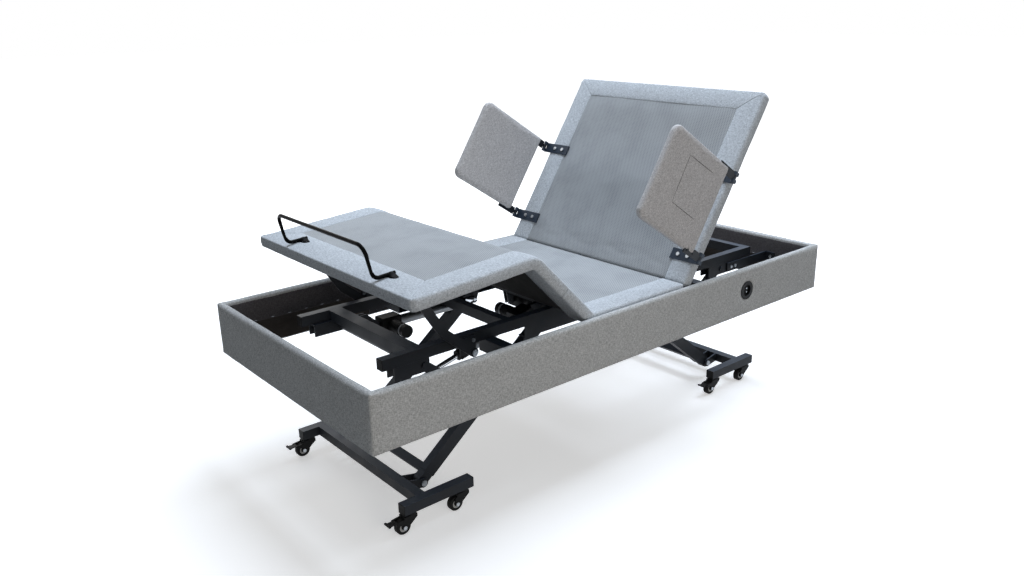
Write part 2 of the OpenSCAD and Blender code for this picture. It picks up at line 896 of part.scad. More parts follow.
// bracket under a calf rail with the pin of a calf link
module calf_bracket() {
    x0 = calf_link_x + calf_link_t / 2 + 4;
    x1 = x0 + lug_t;
    z = knee_n - link_below;
    difference() {
        plate_x(x0, x1) {
            translate([link_along, z]) circle(r = link_half, $fn = bore_fn);
            polygon([[link_along - link_half + 1, z], [link_along + link_half - 1, z],
                     [calf_rail_y + rail_w, rail_n0 - weld_gap], [calf_rail_y, rail_n0 - weld_gap]]);
        }
        rod_x(x0 - cut, x1 + cut, link_along, z, link_pin_r + weld_gap);
    }
    rod_x(calf_link_x - calf_link_t / 2 - 1, x1 + 2, link_along, z, link_pin_r);
}

module calf_frame() {
    color(steel) at_calf() {
        for (y = [end_rail_in, calf_rail_y]) deck_rail(y, rail_n0, rail_n1);
        deck_runners(end_rail_in + rail_w, calf_rail_y);
        translate([0, 0, knee_n]) moving_lugs(end_rail_in - weld_gap);
        both_sides() calf_bracket();
    }
}

module calf_pad() {
    color(fabric) at_calf() border_frame(calf_len, pad_r, fold_r);
}

module calf_mesh() {
    color(mesh_grey) at_calf() mesh_panel(mesh_in, calf_len - border_w - mesh_gap);
}

// a bowed link in the side view between the frame stud and the calf pin
module calf_links() {
    dy = upper_y - calf_link_y;
    dz = upper_z - calf_link_z;
    span = sqrt(dy * dy + dz * dz);
    color(steel) both_sides() translate([calf_link_x, calf_link_y, calf_link_z])
        rotate([atan2(dz, dy) - 180, 0, 0]) difference() {
            for (e = [0, 1]) plate_x(-calf_link_t / 2, calf_link_t / 2) hull() {
                translate([-e * span, 0]) circle(r = link_half, $fn = arc_fn);
                translate([-span / 2, -link_bow]) circle(r = link_half, $fn = arc_fn);
            }
            rod_x(-calf_link_t, calf_link_t, 0, 0, link_stud_r + run_gap);
            rod_x(-calf_link_t, calf_link_t, -span, 0, link_pin_r + link_play);
        }
}

// ---------- wings and retainer ----------

module wing_pad() {
    n0 = top_n + wing_gap;
    color(fabric) at_back() translate([wing_x - wing_t / 2, 0, 0]) rotate([90, 0, 90])
        linear_extrude(wing_t) round_rect(wing_s, n0, wing_s + wing_len, n0 + wing_out, wing_r);
}

module right_wing_pad() {
    wing_pad();
}

module left_wing_pad() {
    mirror([1, 0, 0]) wing_pad();
}

// a rod along the section from y0 to y1
module rod_y(x, y0, y1, n, r) {
    translate([x, y1, n]) rotate([90, 0, 0]) cylinder(r = r, h = y1 - y0, $fn = bore_fn);
}

// the plates on the back section with two knuckles each, their pins and bolts
module wing_hinge_plates() {
    n0 = top_n + weld_gap;
    n1 = n0 + plate_t;
    half = wing_plate_w / 2;
    at_back() both_sides() for (s = wing_arm_s) {
        color(blue_steel) difference() {
            union() {
                block([wing_plate_in, s - half, n0], [wing_pivot_x, s + half, n1]);
                for (e = [-half, barrel_l / 2]) {
                    block([wing_pivot_x - barrel_r + 1, s + e, n0],
                          [wing_pivot_x + barrel_r - 1, s + e + half - barrel_l / 2, wing_pivot_n]);
                    rod_y(wing_pivot_x, s + e, s + e + half - barrel_l / 2, wing_pivot_n, barrel_r);
                }
            }
            rod_y(wing_pivot_x, s - half - cut, s + half + cut, wing_pivot_n, wing_pin_r + weld_gap);
            for (x = wing_bolts)
                translate([x, s, n0 - cut]) cylinder(r = wing_bolt_r + weld_gap, h = plate_t + 2 * cut, $fn = bore_fn);
        }
        color(zinc) {
            rod_y(wing_pivot_x, s - half - 1, s + half + 1, wing_pivot_n, wing_pin_r);
            for (x = wing_bolts) {
                translate([x, s, n0]) cylinder(r = wing_bolt_r, h = plate_t, $fn = bore_fn);
                translate([x, s, n1]) cylinder(r = wing_bolt_r * 1.9, h = 4, $fn = 6);
            }
        }
    }
}

// the leaves on a wing, each with the middle knuckle of its hinge
module wing_arms() {
    x0 = wing_x + wing_t / 2 + weld_gap;
    neck = barrel_l / 2 - wing_side_gap;
    n1 = wing_pivot_n + barrel_r + 4;
    color(steel) at_back() for (s = wing_arm_s) {
        difference() {
            union() {
                rod_y(wing_pivot_x, s - neck, s + neck, wing_pivot_n, barrel_r);
                block([x0, s - neck, wing_pivot_n], [x0 + plate_t, s + neck, n1]);
                block([x0, s - wing_leaf_w / 2, n1], [x0 + plate_t, s + wing_leaf_w / 2, wing_leaf_n]);
            }
            rod_y(wing_pivot_x, s - barrel_l, s + barrel_l, wing_pivot_n, wing_pin_r + run_gap);
        }
        for (n = wing_screws)
            rod_x(x0 + plate_t, x0 + plate_t + 2, s, n, 5);
    }
}

module right_wing_arms() {
    wing_arms();
}

module left_wing_arms() {
    mirror([1, 0, 0]) wing_arms();
}

// a bend of the bar in the XY plane: centre at the origin, from +X turning towards +Y
module bar_bend(radius, angle) {
    rotate_extrude(angle = angle, $fn = 96) translate([radius, 0]) circle(r = bar_r, $fn = bore_fn);
}

module retainer_bar() {
    n = top_n + bar_lift;
    y0 = calf_len - clip_in - clip_w / 2;
    y1 = calf_len - bar_in - bar_foot_r;
    turn = 90 - bar_lean;
    foot_rise = bar_foot_r * (1 - cos(turn));
    rise = (bar_rise - bar_lift - foot_rise) / cos(bar_lean) - bar_corner_r;
    color(black) at_calf() both_sides() {
        rod_y(bar_half, y0, y1, n, bar_r);
        translate([bar_half, y1, n + bar_foot_r]) rotate([0, 90, 0]) bar_bend(bar_foot_r, turn);
        translate([bar_half, y1 + bar_foot_r * sin(turn), n + foot_rise]) rotate([-bar_lean, 0, 0]) {
            cylinder(r = bar_r, h = rise, $fn = bore_fn);
            translate([-bar_corner_r, 0, rise]) rotate([90, 0, 0]) bar_bend(bar_corner_r, 90);
            translate([-bar_corner_r, 0, rise + bar_corner_r]) rotate([0, -90, 0])
                cylinder(r = bar_r, h = bar_half - bar_corner_r, $fn = bore_fn);
        }
    }
}

// clips that hold the bar on the foot border
module retainer_clips() {
    n0 = top_n + weld_gap;
    n = top_n + bar_lift;
    y = calf_len - clip_in;
    color(black) at_calf() both_sides() difference() {
        union() {
            block([bar_half - clip_l / 2, y - clip_w / 2, n0], [bar_half + clip_l / 2, y + clip_w / 2, n0 + 4]);
            rod_y(bar_half, y - clip_w / 2, y + clip_w / 2, n, bar_r + 4);
        }
        rod_y(bar_half, y - clip_w, y + clip_w, n, bar_r + run_gap);
        block([bar_half - clip_l, y - clip_w, n0 - 2 * clip_w], [bar_half + clip_l, y + clip_w, n0]);
    }
}

// ---------- lift ----------

// a hollow bar between two solid eyes: pivot at the origin, running along +Y for len
module eye_bar(x0, x1, len, eye_r, depth, bore_a, bore_b) {
    for (e = [0, 1]) translate([0, e * len, 0]) mirror([0, e, 0]) difference() {
        union() {
            rod_x(x0, x1, 0, 0, eye_r);
            block([x0, 0, 1 - eye_r], [x1, eye_r + shank, eye_r - 1]);
        }
        rod_x(x0 - cut, x1 + cut, 0, 0, e == 0 ? bore_a : bore_b);
    }
    difference() {
        open_tube([x0, eye_r + shank + weld_gap, -depth / 2],
                  [x1, len - eye_r - shank - weld_gap, depth / 2], 1);
        children();
    }
}

// a pin with a head at each end
module headed_pin(x0, x1, y, z, r) {
    rod_x(x0, x1, y, z, r);
    rod_x(x0 - head_t, x0, y, z, head_r);
    rod_x(x1, x1 + head_t, y, z, head_r);
}

// torque shaft of one lift with its two short links, stubs and the lever of its actuator
module short_links() {
    stub_x = main_out_x + weld_gap;
    color(steel) {
        translate([0, -lift_y, lift_top_z]) {
            rod_x(-link_in_x, link_in_x, 0, 0, shaft_r);
            both_sides() {
                rod_x(link_out_x, stub_x, 0, 0, pivot_r);
                rod_x(stub_x, stub_x + head_t, 0, 0, head_r);
                rotate([-leg_angle, 0, 0])
                    eye_bar(link_in_x, link_out_x, leg_len / 2, link_eye_r, link_d, 0, pivot_r + run_gap);
            }
        }
        lift_lever();
    }
}

module lift_lever() {
    near = lift_arm - 1;
    far = lift_arm / cos(lift_low_turn) + 1;
    translate([0, -lift_y, lift_top_z]) rotate([lift_act_slope, 0, 0]) difference() {
        plate_x(lift_act_x - lever_t / 2, lift_act_x + lever_t / 2) lever_outline(shaft_r + hub_wall, far);
        lever_slot(lift_act_x, near, far);
        rod_x(lift_act_x - lever_t, lift_act_x + lever_t, 0, 0, shaft_r + weld_gap);
    }
}

// the two long legs of one lift with their middle pins, glides and the brace between them
module long_legs() {
    pin_x0 = leg_in_x - weld_gap;
    pin_x1 = link_out_x + weld_gap;
    glide_x = leg_out_x + glide_side;
    glide_out = min(glide_x + glide_w, link_out_x - channel_wall - head_t - 3 * weld_gap);
    translate([0, -lift_y, lift_low_z]) rotate([leg_angle, 0, 0]) {
        color(steel) both_sides() {
            eye_bar(leg_in_x, leg_out_x, leg_len, leg_eye_r, leg_d, pivot_r + run_gap, pivot_r + weld_gap)
                rod_x(leg_in_x - cut, leg_out_x + cut, leg_len / 2, 0, pivot_r + weld_gap);
            difference() {
                rod_x(leg_out_x + weld_gap, link_in_x - weld_gap, leg_len / 2, 0, head_r);
                rod_x(leg_out_x, link_in_x, leg_len / 2, 0, pivot_r + weld_gap);
            }
            headed_pin(pin_x0, pin_x1, leg_len / 2, 0, pivot_r);
            headed_pin(leg_in_x, glide_out + weld_gap, leg_len, 0, pivot_r);
        }
        color(steel) open_tube([weld_gap - leg_in_x, brace_at - brace_w / 2, -brace_h / 2],
                               [leg_in_x - weld_gap, brace_at + brace_w / 2, brace_h / 2], 0);
        color(black) both_sides() difference() {
            rod_x(glide_x, glide_out, leg_len, 0, glide_r);
            rod_x(glide_x - cut, glide_out + cut, leg_len, 0, pivot_r + weld_gap);
        }
    }
}

module foot_short_links() {
    short_links();
}

module head_short_links() {
    head_end() short_links();
}

module foot_long_legs() {
    long_legs();
}

module head_long_legs() {
    head_end() long_legs();
}

// ---------- base frames ----------

// side tube of a base, with a blind socket in it for each caster stem
module base_side() {
    difference() {
        capped_tube([base_x - base_half, -base_y - base_len / 2, base_low],
                    [base_x + base_half, -base_y + base_len / 2, base_top], 1);
        for (e = [-1, 1]) translate([base_x, -base_y + e * caster_half, base_low - cut])
            cylinder(r = stem_r + socket_wall + weld_gap, h = base_tube / 2, $fn = bore_fn);
    }
    for (e = [-1, 1]) translate([base_x, -base_y + e * caster_half, base_low]) difference() {
        cylinder(r = stem_r + socket_wall, h = base_tube - tube_wall - weld_gap, $fn = bore_fn);
        translate([0, 0, -cut]) cylinder(r = stem_r + run_gap, h = stem_l + cut + 2, $fn = bore_fn);
    }
}

// the pair of lugs that holds the lower eye of a leg, and its pin
module leg_lugs() {
    y = base_half - base_cross_y + weld_gap;
    for (x = [leg_in_x - 3 - lug_t, leg_out_x + 3]) difference() {
        plate_x(x, x + lug_t) {
            translate([-lift_y, lift_low_z]) circle(r = base_lug_r, $fn = bore_fn);
            polygon([[y, base_low], [-lift_y, lift_low_z - base_lug_r + 1],
                     [-lift_y, lift_low_z + base_lug_r - 1], [y, base_top]]);
        }
        rod_x(x - cut, x + lug_t + cut, -lift_y, lift_low_z, pivot_r + weld_gap);
    }
    x0 = leg_in_x - 3 - lug_t - weld_gap;
    headed_pin(x0, leg_out_x + 3 + lug_t + weld_gap, -lift_y, lift_low_z, pivot_r);
}

module base_frame() {
    x = base_x - base_half - weld_gap;
    color(steel) {
        both_sides() {
            base_side();
            leg_lugs();
        }
        open_tube([-x, -base_cross_y - base_half, base_low], [x, base_half - base_cross_y, base_top], 0);
    }
}

module foot_base_frame() {
    base_frame();
}

module head_base_frame() {
    head_end() base_frame();
}

// ---------- casters ----------

function caster_at(i) = [CASTERS[i][0] * base_x, CASTERS[i][1] * base_y + CASTERS[i][2] * caster_half, 0];

// the fork of caster i with its stem and axle; a braked fork also carries the pedal pin
module caster_fork(i) {
    braked = i < 4;
    cheek_in = wheel_w / 2 + cheek_gap;
    cheek_out = cheek_in + cheek_t;
    hood_z = base_low - swivel_gap - swivel_t - hood_t;
    tail = braked ? pedal_y : -caster_trail;
    pedal_z = hood_z - pedal_drop;
    translate(caster_at(i)) {
        color(black) difference() {
            union() {
                translate([0, 0, hood_z + hood_t]) cylinder(r = swivel_r, h = swivel_t, $fn = bore_fn);
                block([-cheek_out, -caster_trail, hood_z], [cheek_out, hood_front, hood_z + hood_t]);
                both_sides() plate_x(cheek_in, cheek_out) {
                    polygon([[hood_front, hood_z + 1], [hood_front, hood_z - 3],
                             [axle_wrap - caster_trail, wheel_r - axle_wrap + 2],
                             [-caster_trail, wheel_r - axle_wrap - 1],
                             [-caster_trail - axle_wrap, wheel_r - axle_wrap / 2],
                             [-caster_trail - axle_wrap, hood_z - 6], [-caster_trail, hood_z + 1]]);
                    if (braked) polygon([[-caster_trail, hood_z + 1], [-caster_trail - axle_wrap, hood_z - 15],
                                         [tail - pedal_boss, pedal_z - pedal_boss], [tail - pedal_boss, pedal_z + pedal_boss]]);
                }
            }
            rod_x(-cheek_out - cut, cheek_out + cut, -caster_trail, wheel_r, axle_r + weld_gap);
            if (braked) rod_x(-cheek_out - cut, cheek_out + cut, pedal_y, pedal_z, pedal_pin_r + weld_gap);
        }
        color(zinc) {
            translate([0, 0, hood_z + hood_t + swivel_t + weld_gap])
                cylinder(r = stem_r, h = stem_l - weld_gap, $fn = bore_fn);
            rod_x(-cheek_out, cheek_out, -caster_trail, wheel_r, axle_r);
            both_sides() rod_x(cheek_out, cheek_out + 2.5, -caster_trail, wheel_r, 6.5);
            if (braked) rod_x(-cheek_out, cheek_out, pedal_y, pedal_z, pedal_pin_r);
        }
    }
}

// tyre and hub of caster i
module caster_wheel(i) {
    rim_r = wheel_r - tyre_t;
    half = wheel_w / 2;
    hub_r = axle_r + hub_wall;
    translate(caster_at(i)) translate([0, -caster_trail, wheel_r]) rotate([0, 90, 0]) {
        color(black) rotate_extrude($fn = 96) {
            translate([rim_r + weld_gap, -half]) square([tyre_t - weld_gap - tyre_round, wheel_w]);
            translate([wheel_r - tyre_round - eps, tyre_round - half])
                square([tyre_round + eps, wheel_w - 2 * tyre_round]);
            for (e = [-1, 1]) translate([wheel_r - tyre_round, e * (half - tyre_round)])
                circle(r = tyre_round, $fn = arc_fn);
        }
        color(zinc) rotate_extrude($fn = 96) polygon([
            [axle_r + run_gap, -half - 1], [hub_r, -half - 1], [hub_r, web_in - half],
            [rim_r - web_in, web_in - half], [rim_r - web_in, -half], [rim_r, -half],
            [rim_r, half], [rim_r - web_in, half], [rim_r - web_in, half - web_in],
            [hub_r, half - web_in], [hub_r, half + 1], [axle_r + run_gap, half + 1]]);
    }
}

// foot pedal of braked caster i with its brake shoe
module brake_pedal(i) {
    half = wheel_w / 2 + cheek_gap - pedal_side;
    toe = half + pedal_toe_w;
    z = base_low - swivel_gap - swivel_t - hood_t - pedal_drop;
    color(black) translate(caster_at(i)) translate([0, pedal_y, z]) difference() {
        union() {
            rod_x(-half, half, 0, 0, pedal_hub_r);
            block([-half, -pedal_l, 1], [half, 0, pedal_hub_r - 0.5]);
            rotate([90, 0, 0]) translate([0, 0, pedal_l - pedal_toe_l]) linear_extrude(pedal_toe_l)
                polygon([[-toe, 1], [toe, 1], [toe, pedal_hub_r + 1], [-toe, pedal_hub_r + 1]]);
            rotate([-shoe_turn, 0, 0]) block([-wheel_w / 2, 0, -shoe_t / 2], [wheel_w / 2, shoe_reach, shoe_t / 2]);
        }
        rod_x(-half - cut, half + cut, 0, 0, pedal_pin_r + run_gap);
    }
}

// ---------- actuators ----------

// an electric linear actuator: rear pin at the origin, rod along +Y, motor to the side given by m
module actuator_body(tube_l, m) {
    tube_y = tongue_l + box_l;
    motor_y = tongue_l + box_l / 2;
    ribbed_l = motor_l - motor_cap - motor_band;
    color(black) difference() {
        union() {
            rod_x(-tongue_t / 2, tongue_t / 2, 0, 0, tongue_r);
            block([-tongue_t / 2, 0, 1 - tongue_r], [tongue_t / 2, tongue_l + eps, tongue_r - 1]);
            translate([0, tongue_l, 0]) rotate([-90, 0, 0]) linear_extrude(box_l)
                round_rect(-box_half, -box_half, box_half, box_half, 8);
        }
        rod_x(-tongue_t, tongue_t, 0, 0, rod_pin_r + run_gap);
    }
    mirror([m < 0 ? 1 : 0, 0, 0]) translate([box_half + weld_gap, motor_y, 0]) rotate([0, 90, 0]) {
        color(black) rotate_extrude($fn = 72) {
            square([motor_r - motor_fin, ribbed_l]);
            for (z = [motor_rib : 2 * motor_rib : ribbed_l - motor_rib])
                translate([0, z]) square([motor_r, motor_rib]);
        }
        color(zinc) translate([0, 0, ribbed_l + weld_gap])
            cylinder(r = motor_r - motor_fin / 2, h = motor_band, $fn = 72);
        color(black) translate([0, 0, ribbed_l + motor_band + 2 * weld_gap])
            cylinder(r = motor_r, h = motor_cap - 2 * weld_gap, $fn = 72);
    }
    color(zinc) translate([0, tube_y + weld_gap, 0]) rotate([-90, 0, 0]) difference() {
        cylinder(r = act_tube_r, h = tube_l - 2 * weld_gap, $fn = 64);
        translate([0, 0, -cut]) cylinder(r = rod_r + 1, h = tube_l + 2 * cut, $fn = 64);
    }
    color(black) translate([0, tube_y + tube_l, 0]) rotate([-90, 0, 0]) difference() {
        union() {
            cylinder(r = collar_r, h = collar_l - 12, $fn = 64);
            cylinder(r = collar_r - 3, h = collar_l, $fn = 64);
        }
        translate([0, 0, -cut]) cylinder(r = rod_r + rod_bore_gap, h = collar_l + 2 * cut, $fn = 64);
    }
}

// an actuator rod with its fork: fork pin at the origin, rod running back along -Y for len
module actuator_rod(len) {
    color(steel) {
        difference() {
            union() {
                both_sides() plate_x(lever_t / 2 + ear_gap, lever_t / 2 + ear_gap + ear_t) {
                    circle(r = ear_r, $fn = bore_fn);
                    translate([-block_y - 1, 1 - ear_r]) square([block_y + 1, 2 * ear_r - 2]);
                }
                block([-fork_half, -block_y - fork_l, 1 - ear_r], [fork_half, -block_y, ear_r - 1]);
            }
            rod_x(-fork_half - cut, fork_half + cut, 0, 0, rod_pin_r + weld_gap);
        }
    }
    color(zinc) {
        rod_x(-fork_half, fork_half, 0, 0, rod_pin_r);
        translate([0, -block_y - fork_l, 0]) rotate([90, 0, 0])
            cylinder(r = rod_r, h = len - block_y - fork_l, $fn = 64);
    }
}

module lift_actuators() {
    for (e = [0, 1]) mirror([0, e, 0]) translate([lift_act_x, lift_rear_y, lift_rear_z])
        rotate([lift_act_slope, 0, 0]) mirror([0, 1, 0]) actuator_body(lift_tube, -1);
}

module foot_lift_rod() {
    y = -lift_y + lift_arm * sin(lift_act_slope);
    z = lift_top_z - lift_arm * cos(lift_act_slope);
    translate([lift_act_x, y, z]) rotate([lift_act_slope, 0, 0]) mirror([0, 1, 0]) actuator_rod(lift_rod_l);
}

module head_lift_rod() {
    head_end() foot_lift_rod();
}

module back_actuator() {
    translate([back_act_x, back_rear_y, back_rod_z]) actuator_body(back_tube, 1);
}

module back_rod() {
    y = back_hinge_y + back_arm * tan(back_lean);
    translate([back_act_x, y, back_rod_z]) actuator_rod(y - back_body_y + back_grip);
}

module thigh_actuator() {
    translate([thigh_act_x, thigh_rear_y, thigh_rod_z]) actuator_body(thigh_tube, 1);
}

module thigh_rod() {
    y = thigh_hinge_y - thigh_arm * tan(thigh_swing);
    translate([thigh_act_x, y, thigh_rod_z]) actuator_rod(y - thigh_body_y + thigh_grip);
}

// ---------- control box and bolts ----------

module control_box() {
    z1 = main_bottom - weld_gap;
    color(black) {
        translate([0, 0, z1 - control_h]) linear_extrude(control_h)
            round_rect(control_x0, -control_half, control_x1, control_half, 8);
    }
}

module bolt_x(x, y, z, side) {
    translate([x, y, z]) rotate([0, side * 90, 0]) cylinder(r = bolt_r, h = bolt_t, $fn = 6);
}

// bright bolt heads on the brackets
module frame_hardware() {
    flange_x = inner_x - weld_gap - plate_t;
    stud_x = calf_link_x + calf_link_t / 2 + 1;
    angle_x = main_out_x + weld_gap + plate_t;
    mid_z = (under_bottom + main_bottom) / 2;
    color(zinc) both_sides() {
        for (y = [-outrigger_y, outrigger_y], e = [-1, 1])
            bolt_x(flange_x, y + e * flange_bolt, mid_z, -1);
        for (y = [hanger_front - angle_lap + angle_bolt, hanger_front - angle_bolt])
            bolt_x(angle_x, y, mid_z, 1);
        rod_x(stud_x, stud_x + head_t, calf_link_y, calf_link_z, head_r);
        for (e = [-1, 1]) bolt_x(angle_x, calf_link_y + e * stud_bolt, main_top - stud_bolt - 2, 1);
        translate([angle_x + angle_w / 2, inner_y - weld_gap - plate_t, mid_z]) rotate([90, 0, 0])
            cylinder(r = bolt_r, h = bolt_t, $fn = 6);
    }
}

main_frame();
surround_left();
surround_right();
surround_foot();
surround_head();
seat_pad();
seat_mesh();
control_box();
power_socket();
frame_hardware();
lift_actuators();
thigh_actuator();
back_actuator();
back_frame();
back_pad();
back_mesh();
wing_hinge_plates();
left_wing_pad();
right_wing_pad();
left_wing_arms();
right_wing_arms();
thigh_frame();
thigh_pad();
thigh_mesh();
calf_frame();
calf_pad();
calf_mesh();
retainer_bar();
retainer_clips();
calf_links();
foot_short_links();
head_short_links();
foot_long_legs();
head_long_legs();
foot_base_frame();
head_base_frame();
foot_lift_rod();
head_lift_rod();
thigh_rod();
back_rod();
caster_fork(0);  // caster_fork_1
caster_fork(1);  // caster_fork_2
caster_fork(2);  // caster_fork_3
caster_fork(3);  // caster_fork_4
caster_fork(4);  // caster_fork_5
caster_fork(5);  // caster_fork_6
caster_fork(6);  // caster_fork_7
caster_fork(7);  // caster_fork_8
caster_wheel(0);  // caster_wheel_1
caster_wheel(1);  // caster_wheel_2
caster_wheel(2);  // caster_wheel_3
caster_wheel(3);  // caster_wheel_4
caster_wheel(4);  // caster_wheel_5
caster_wheel(5);  // caster_wheel_6
caster_wheel(6);  // caster_wheel_7
caster_wheel(7);  // caster_wheel_8
brake_pedal(0);  // brake_pedal_1
brake_pedal(1);  // brake_pedal_2
brake_pedal(2);  // brake_pedal_3
brake_pedal(3);  // brake_pedal_4
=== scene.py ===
"""Adjustable bed base: upholstery, stretched mesh and finishes on its packed steel frame."""

from __future__ import annotations

import json
import logging
import math
from dataclasses import dataclass, field
from enum import Enum
from typing import Callable, Sequence

import bmesh
import bpy
import numpy as np
from mathutils import Matrix, Vector
from mathutils import noise as field_noise

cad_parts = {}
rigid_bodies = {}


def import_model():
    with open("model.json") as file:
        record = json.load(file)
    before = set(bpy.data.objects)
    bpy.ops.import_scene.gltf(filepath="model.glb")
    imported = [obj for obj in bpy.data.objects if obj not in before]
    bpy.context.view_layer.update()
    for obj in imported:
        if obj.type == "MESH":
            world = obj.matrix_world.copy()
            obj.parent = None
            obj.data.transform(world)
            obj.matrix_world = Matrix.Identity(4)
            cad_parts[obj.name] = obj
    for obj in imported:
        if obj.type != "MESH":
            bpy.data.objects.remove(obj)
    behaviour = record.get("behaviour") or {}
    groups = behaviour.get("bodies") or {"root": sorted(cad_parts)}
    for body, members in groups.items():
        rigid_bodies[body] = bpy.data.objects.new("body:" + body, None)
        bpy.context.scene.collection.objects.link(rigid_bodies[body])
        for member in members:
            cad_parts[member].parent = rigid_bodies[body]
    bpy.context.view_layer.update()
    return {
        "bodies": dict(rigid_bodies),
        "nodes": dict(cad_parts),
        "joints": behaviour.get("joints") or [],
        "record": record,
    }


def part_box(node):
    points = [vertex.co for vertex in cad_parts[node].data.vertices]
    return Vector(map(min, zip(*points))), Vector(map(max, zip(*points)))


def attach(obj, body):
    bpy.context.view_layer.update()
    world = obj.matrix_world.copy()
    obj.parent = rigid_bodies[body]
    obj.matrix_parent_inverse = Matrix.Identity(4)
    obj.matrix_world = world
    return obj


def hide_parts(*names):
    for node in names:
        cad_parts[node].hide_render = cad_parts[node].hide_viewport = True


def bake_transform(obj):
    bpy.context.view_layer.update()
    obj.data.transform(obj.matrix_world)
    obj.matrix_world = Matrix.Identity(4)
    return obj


LOG = logging.getLogger("bed_base")
MM = 0.001
SWELL_FRAMES = 20
Array = np.ndarray
Spot = tuple[float, float]
Row = tuple[float, float, float, float]


class Slot(Enum):
    """Material slots of the record, one for each kind of scene piece."""

    SURROUND = "upholstery"
    DECK = "deck_upholstery"
    MESH = "deck_mesh"
    ZINC = "zinc"
    NYLON = "black_plastic"


# ---------------------------------------------------------------- finishes


def linear(hex_colour: str) -> tuple[float, float, float, float]:
    """Turns an sRGB hex colour to linear light.

    Args:
        hex_colour: Six hex digits with a leading hash.

    Returns:
        Linear red, green, blue and an alpha of 1.
    """
    parts = [int(hex_colour[i : i + 2], 16) / 255 for i in (1, 3, 5)]
    lin = [p / 12.92 if p <= 0.04045 else ((p + 0.055) / 1.055) ** 2.4 for p in parts]
    return (lin[0], lin[1], lin[2], 1.0)


class Shader:
    """A node tree under construction, of a material or of the world."""

    def __init__(self, owner: bpy.types.Material | bpy.types.World) -> None:
        """Empties the owner's node tree.

        Args:
            owner: The material or the world.
        """
        owner.use_nodes = True
        self.owner = owner
        self.tree = owner.node_tree
        self.tree.nodes.clear()

    def add(self, kind: str, inputs: dict | None = None, **settings: object) -> bpy.types.Node:
        """Adds a node with its settings, values and links.

        Args:
            kind: Node type without the ShaderNode prefix.
            inputs: Input name or number to a value or to a socket that feeds it.
            **settings: Attributes set on the node.

        Returns:
            The new node.
        """
        made = self.tree.nodes.new("ShaderNode" + kind)
        for key, value in settings.items():
            setattr(made, key, value)
        for key, value in (inputs or {}).items():
            if isinstance(value, bpy.types.Node):
                value = next(o for o in value.outputs if o.enabled)
            if isinstance(value, bpy.types.NodeSocket):
                self.tree.links.new(value, made.inputs[key])
            else:
                made.inputs[key].default_value = value
        return made


@dataclass(frozen=True)
class Finish:
    """What every finish has in common: a name and one shared material."""

    name: str

    def shade(self, sh: Shader) -> bpy.types.Node:
        """Builds the surface shader node; each finish has its own."""
        raise NotImplementedError

    def material(self) -> bpy.types.Material:
        """Gives the finish's material, made the first time it is asked for.

        Returns:
            The material.
        """
        found = bpy.data.materials.get(self.name)
        if found:
            return found
        sh = Shader(bpy.data.materials.new(self.name))
        sh.add("OutputMaterial", {"Surface": self.shade(sh)})
        return sh.owner


@dataclass(frozen=True)
class MelangeCloth(Finish):
    """Polyester melange upholstery: plain-woven from yarns of mixed light and dark fibre.

    The eye gets a soft matt grey with short light and dark slubs along both yarns.
    """

    light: str = "#dadbda"
    dark: str = "#919291"
    thread_mm: float = 1.7  # drawn somewhat coarser than the 0.9 mm yarn so that it shows
    slub_mm: float = 2.6  # real slubs are about 1 mm by 6 mm; these still show from afar
    slub_long_mm: float = 11.0

    def shade(self, sh: Shader) -> bpy.types.Node:
        """Weaves warp and weft slubs in the cloth's own plane.

        Args:
            sh: The node tree of the material.

        Returns:
            The surface shader node.
        """
        lay = sh.add("UVMap", uv_map="lay")
        yarns = []
        short, long = 1000 / self.slub_mm, 1000 / self.slub_long_mm
        for across, along in ((short, long), (long, short)):
            grain = sh.add("VectorMath", {0: lay, 1: (across, along, 1.0)}, operation="MULTIPLY")
            speck = sh.add(
                "TexNoise", {"Vector": grain, "Scale": 1.0, "Detail": 2.0, "Roughness": 0.6},
                noise_dimensions="2D",
            )
            yarns.append(sh.add("MapRange", {0: speck.outputs[0], 1: 0.3, 2: 0.7, 3: 0.0, 4: 1.0}))
        sides = sh.add("SeparateXYZ", {0: lay})
        waves = [
            sh.add(
                "Math",
                {
                    0: sh.add(
                        "Math", {0: sides.outputs[i], 1: math.pi * 1000 / self.thread_mm},
                        operation="MULTIPLY",
                    )
                },
                operation="SINE",
            )
            for i in (0, 1)
        ]
        over = sh.add("Math", {0: waves[0], 1: waves[1]}, operation="MULTIPLY")
        pick = sh.add("MapRange", {0: over, 1: -0.3, 2: 0.3})
        shade = sh.add("Mix", {0: pick, 2: yarns[0], 3: yarns[1]}, data_type="FLOAT")
        broad = sh.add(
            "TexNoise", {"Vector": lay, "Scale": 22.0, "Detail": 3.0}, noise_dimensions="2D",
        )
        mixed = sh.add("Math", {0: broad.outputs[0], 1: 0.22, 2: -0.11}, operation="MULTIPLY_ADD")
        factor = sh.add("Math", {0: shade, 1: mixed}, operation="ADD", use_clamp=True)
        colour = sh.add(
            "Mix", {0: factor, 6: linear(self.dark), 7: linear(self.light)}, data_type="RGBA",
        )
        crossing = sh.add("Math", {0: over}, operation="ABSOLUTE")
        height = sh.add("Math", {0: shade, 1: 0.5, 2: crossing}, operation="MULTIPLY_ADD")
        bump = sh.add("Bump", {"Height": height, "Strength": 0.35, "Distance": 0.0006})
        return sh.add("BsdfPrincipled", {
            "Base Color": colour.outputs[2], "Roughness": 0.92, "Specular IOR Level": 0.22,
            "Sheen Weight": 0.12, "Sheen Roughness": 0.5, "Sheen Tint": linear("#dfe6ee"),
            "Normal": bump,
        })


